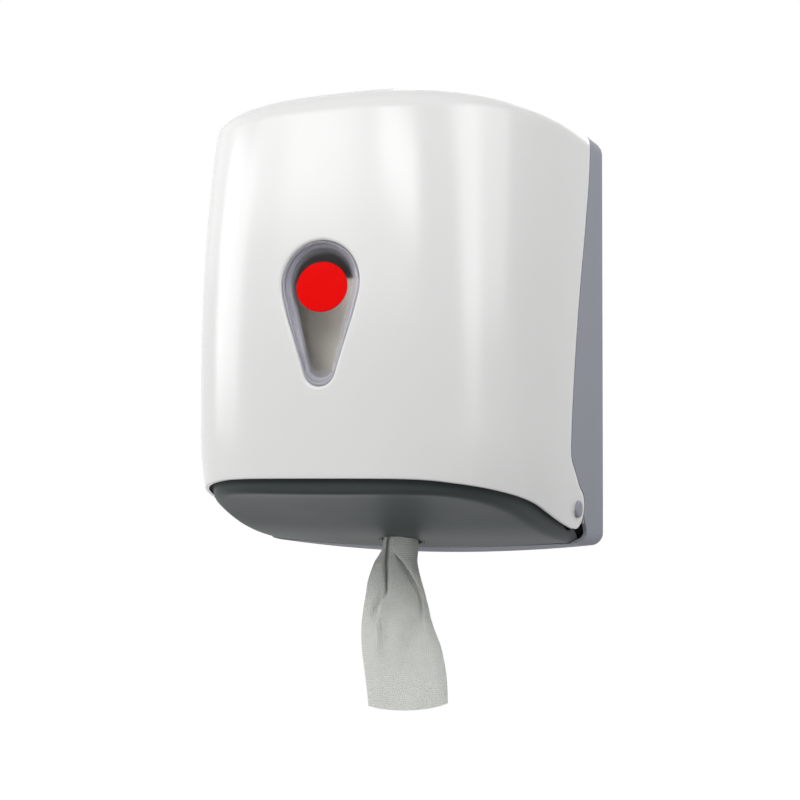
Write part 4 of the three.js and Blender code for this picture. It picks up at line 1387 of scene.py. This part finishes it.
# %% Housing plastic
dress(moulded_plastic(
    "housing_plastic", cloud=(14, 4), grain=(1600, 3), dark=(0.36, 0.372, 0.425),
    light=(0.385, 0.397, 0.452), rough=(0.5, 0.1), bump=(0.12, 0.0003), IOR=1.5, Specular_IOR_Level=0.04,
), housing, bpy.data.objects["pin_right"], bpy.data.objects["pin_left"])

# %% [markdown]
# The tray is moulded like the housing, in a much darker, slightly green grey.

# %% Tray plastic
dress(moulded_plastic(
    "tray_plastic", cloud=(12, 4), grain=(1500, 3), dark=(0.047, 0.058, 0.057), light=(0.055, 0.066, 0.066),
    rough=(0.42, 0.1), bump=(0.1, 0.0003), IOR=1.5, Specular_IOR_Level=0.09,
), tray, nozzle)

# %% [markdown]
# The window's plastic is clear in the pane, where alpha lets most of the view straight through.
# Along the rim a milky shader is mixed in as a painted glow for the light the bevel's slopes gather, by the
# number that each point of the window carries.

# %% Clear plastic
# strength and colour of the painted glow along the rim
painted_glow_share = 0.75
painted_glow_colour = (0.52, 0.52, 0.60, 1)


def clear_plastic():
    finish = Finish(
        "clear_plastic", Base_Color=(0.97, 0.975, 0.98, 1), IOR=1.49, Transmission_Weight=1.0, Alpha=0.15,
    )
    finish.feed(Roughness=0.02 + 0.03 * finish.noise(40, 3))
    clear = Wire(finish, finish.shader.outputs[0])
    # a diffuse milky shader that paints the light the bevel gathers
    painted_glow_shader = finish.node("ShaderNodeBsdfPrincipled", {}, {"Base Color": painted_glow_colour, "Roughness": 0.1})
    inputs = {0: finish.attribute("rim") * painted_glow_share, 1: clear, 2: painted_glow_shader}
    mixed = finish.node("ShaderNodeMixShader", {}, inputs)
    finish.tree.links.new(mixed.socket, finish.tree.nodes["Material Output"].inputs["Surface"])
    return finish.material


dress(clear_plastic(), lens)

# %% [markdown]
# The sticker's film is a strong, even red. Its specular level is low too, because a reflection of
# the white room would turn the red pale.

# %% Red film
dress(moulded_plastic(
    "red_film", cloud=(60, 3), grain=(1200, 3), dark=(0.88, 0.001, 0.001), light=(0.94, 0.002, 0.001),
    rough=(0.3, 0.12), bump=(0.05, 0.0002), IOR=1.45, Specular_IOR_Level=0.05,
), badge)

# %% [markdown]
# The roll shows the edges of its layers as rings on both ends, which a sine of the distance from
# its axis gives. The clouds push the rings about, as on a roll that isn't wound quite evenly.

# %% Paper of the roll
layer_step = 2.8 * mm


def roll_paper():
    finish = Finish("roll_paper", Roughness=0.95, Specular_IOR_Level=0.2, Sheen_Weight=0.1)
    vector = "ShaderNodeVectorMath"
    centred = finish.node(vector, {"operation": "ADD"}, {0: finish.place(), 1: (0, roll_out, 0)})
    flat = finish.node(vector, {"operation": "MULTIPLY"}, {0: centred, 1: (1, 1, 0)})
    radius = finish.node(vector, {"operation": "LENGTH"}, {0: flat}, output="Value")
    cloud = finish.noise(30, 4)
    layer = (radius * (2 * math.pi / layer_step) + 3 * cloud).sine()
    colour = finish.between(cloud + 0.3 * layer, (0.74, 0.715, 0.64), (0.86, 0.835, 0.76))
    rough_paper = finish.noise(700, 4) + 0.5 * layer
    return finish.feed(Base_Color=colour, Normal=finish.bump(rough_paper, 0.6, 0.0008))


dress(roll_paper(), roll)

# %% [markdown]
# The hanging sheet is embossed with small diamonds. Two sines that cross at an angle make them, and
# they run along the flat paper, not through space, so that the pattern bends with the folds.

# %% Tissue of the hanging sheet
diamond_step = 1.7 * mm


def tissue():
    finish = Finish("tissue", Roughness=0.95, Specular_IOR_Level=0.15, Sheen_Weight=0.1)
    turns = math.pi / diamond_step
    across_turns, down_turns = finish.attribute("across") * turns, finish.attribute("down") * turns
    dots = (across_turns + down_turns).sine() * (across_turns - down_turns).sine()
    colour = finish.between(finish.noise(35, 4), (0.85, 0.865, 0.82), (0.90, 0.915, 0.87))
    embossing = dots + 0.4 * finish.noise(900, 4)
    return finish.feed(Base_Color=colour, Normal=finish.bump(embossing, 0.65, 0.0004))


dress(tissue(), tail)

# %% [markdown]
# Screws, clips and the lock are small, so their own solids stay and only get a finish. Zinc-plated
# steel keeps the fine lines of its rolling: noise that is squeezed along one axis.

# %% Steel
steel_nodes = [
    "pin_clip_right", "pin_clip_left", "tray_screw_1", "tray_screw_2", "tray_screw_3", "tray_screw_4",
    "lock_washer", "lock_nut", "lock_cam", "cam_screw", "lock_strike", "strike_screw_lower",
    "strike_screw_upper",
]


def steel():
    finish = Finish("steel", Metallic=1.0)
    where = finish.node("ShaderNodeMapping", {}, {"Vector": finish.place(), "Scale": (1, 1, 9)})
    brushed = finish.noise(220, 4, 0.6, where)
    colour = finish.between(brushed, (0.52, 0.53, 0.54), (0.66, 0.67, 0.68))
    bump = finish.bump(brushed, 0.08, 0.0002)
    return finish.feed(Base_Color=colour, Roughness=0.26 + 0.2 * brushed, Normal=bump)


dress(steel(), *(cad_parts[name] for name in steel_nodes))

# %% [markdown]
# The lock's barrel and plug are polished castings under nickel, brighter and smoother than the steel.

# %% Plated lock
def lock_chrome():
    finish = Finish("lock_chrome", Metallic=1.0)
    cloud = finish.noise(160, 4)
    colour = finish.between(cloud, (0.66, 0.67, 0.68), (0.74, 0.75, 0.76))
    return finish.feed(Base_Color=colour, Roughness=0.1 + 0.1 * cloud)


dress(lock_chrome(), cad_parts["lock_barrel"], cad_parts["lock_plug"])

# %% [markdown]
# The photograph shows a product studio: a white surround, soft lamps above, and tall softboxes
# whose reflections run down both rounded corners of the cover. A reflection's place follows from
# the lamp's direction alone, so each softbox is placed by its bearing and its rise, seen from the
# dispenser. The one behind it only serves views of the housing's back.

# %% Softboxes
studio_middle = Vector((0, -120 * mm, 170 * mm))
studio_reach = 1500 * mm


def lamp(name, place, target, size, watts, roll=0):
    """A soft rectangular lamp that itself can't be seen."""
    light = bpy.data.lights.new(name, "AREA")
    light.shape = "RECTANGLE"
    light.size, light.size_y = size
    light.energy = watts
    made = add_object(name, light)
    made.location = place
    aim = (Vector(target) - Vector(place)).to_track_quat("-Z", "Y").to_matrix().to_4x4()
    made.rotation_euler = (aim @ Matrix.Rotation(math.radians(roll), 4, "Z")).to_euler()
    made.visible_camera = False
    print("lamp", name, watts, "watts")


def softbox(name, bearing, rise, size, watts, roll=0):
    """A lamp at a bearing in degrees from straight in front, towards the right, and at a rise."""
    bearing, rise = math.radians(bearing), math.radians(rise)
    way = Vector((math.sin(bearing) * math.cos(rise), -math.cos(bearing) * math.cos(rise), math.sin(rise)))
    lamp(name, studio_middle + way * studio_reach, studio_middle, size, watts, roll)


softbox("right_strip", bearing=68, rise=22, size=(0.5, 1.2), watts=4.0)
softbox("right_wide", bearing=78, rise=26, size=(1.4, 1.0), watts=8.8)
softbox("left_wide", bearing=-92, rise=26, size=(1.2, 0.8), watts=1.3)
softbox("left_strip", bearing=-68, rise=13, size=(0.85, 0.7), watts=7.2)
softbox("front_small", bearing=4, rise=27, size=(0.62, 0.34), watts=2.8, roll=-16)
softbox("front_wide", bearing=-38, rise=27, size=(0.8, 0.5), watts=3.1)
softbox("behind", bearing=180, rise=35, size=(1.0, 0.8), watts=4)

# %% [markdown]
# A near lamp lights what is close to it more than the rest. Two above the front make the cover
# darker towards its foot, and a small one low in front brightens the hanging sheet. The last is
# very weak and hangs just behind the pane: it stands for the light that a real window lets onto
# the roll, which the clear plastic holds back in a render.

# %% Near lamps
lamp("near_front", place=(-0.1, -0.85, 0.62), target=(0, -0.2, 0.3), size=(0.7, 0.3), watts=0.9)
lamp("near_middle", place=(-0.1, -0.75, 0.42), target=(0, -0.2, 0.25), size=(0.5, 0.3), watts=0.55)
lamp("near_foot", place=(-0.15, -0.5, -0.16), target=(0, -0.08, -0.11), size=(0.15, 0.15), watts=0.17)
lamp(
    "through_window", place=(0.026, -0.212, 0.155), target=(0.018, -0.1, 0.15), size=(0.03, 0.1),
    watts=0.008,
)

# %% [markdown]
# The room is white wherever the camera or a reflection looks at it, but as a lamp it is weak and
# even, so that the softboxes shape the cover. The Light Path node tells the two apart: it is 1 for
# the rays that carry diffuse light.

# %% The white room
room_light = 0.09


def white_room():
    world = bpy.data.worlds.new("white_room")
    world.use_nodes = True
    room = Tree(world.node_tree)
    diffuse = room.node("ShaderNodeLightPath", output="Is Diffuse Ray")
    background = room.tree.nodes["Background"]
    background.inputs["Color"].default_value = (1, 1, 1, 1)
    room.tree.links.new((1 - (1 - room_light) * diffuse).socket, background.inputs["Strength"])
    bpy.context.scene.world = world
    print("room light", room_light)


white_room()

# %% [markdown]
# The floor lies well below, as the dispenser hangs on a wall. It is white in the same way, by an
# emission that diffuse rays don't see, over a plain grey that takes shadows.

# %% The floor
floor_z = -600 * mm
floor_reach = 30
floor_grey = (0.45, 0.45, 0.45, 1)
floor_glow = 0.9


def floor():
    shape = bmesh.new()
    bmesh.ops.create_grid(shape, x_segments=1, y_segments=1, size=floor_reach)
    mesh = bpy.data.meshes.new("floor")
    shape.to_mesh(mesh)
    shape.free()
    made = add_object("floor", mesh)
    made.location = (0, 0, floor_z)
    finish = Finish("floor", Base_Color=floor_grey, Roughness=0.9, Emission_Strength=floor_glow)
    diffuse = finish.node("ShaderNodeLightPath", output="Is Diffuse Ray")
    dress(finish.feed(Emission_Color=finish.between(diffuse, (1, 1, 1), (0, 0, 0))), made)


floor()
bpy.context.scene.view_settings.view_transform = "Standard"
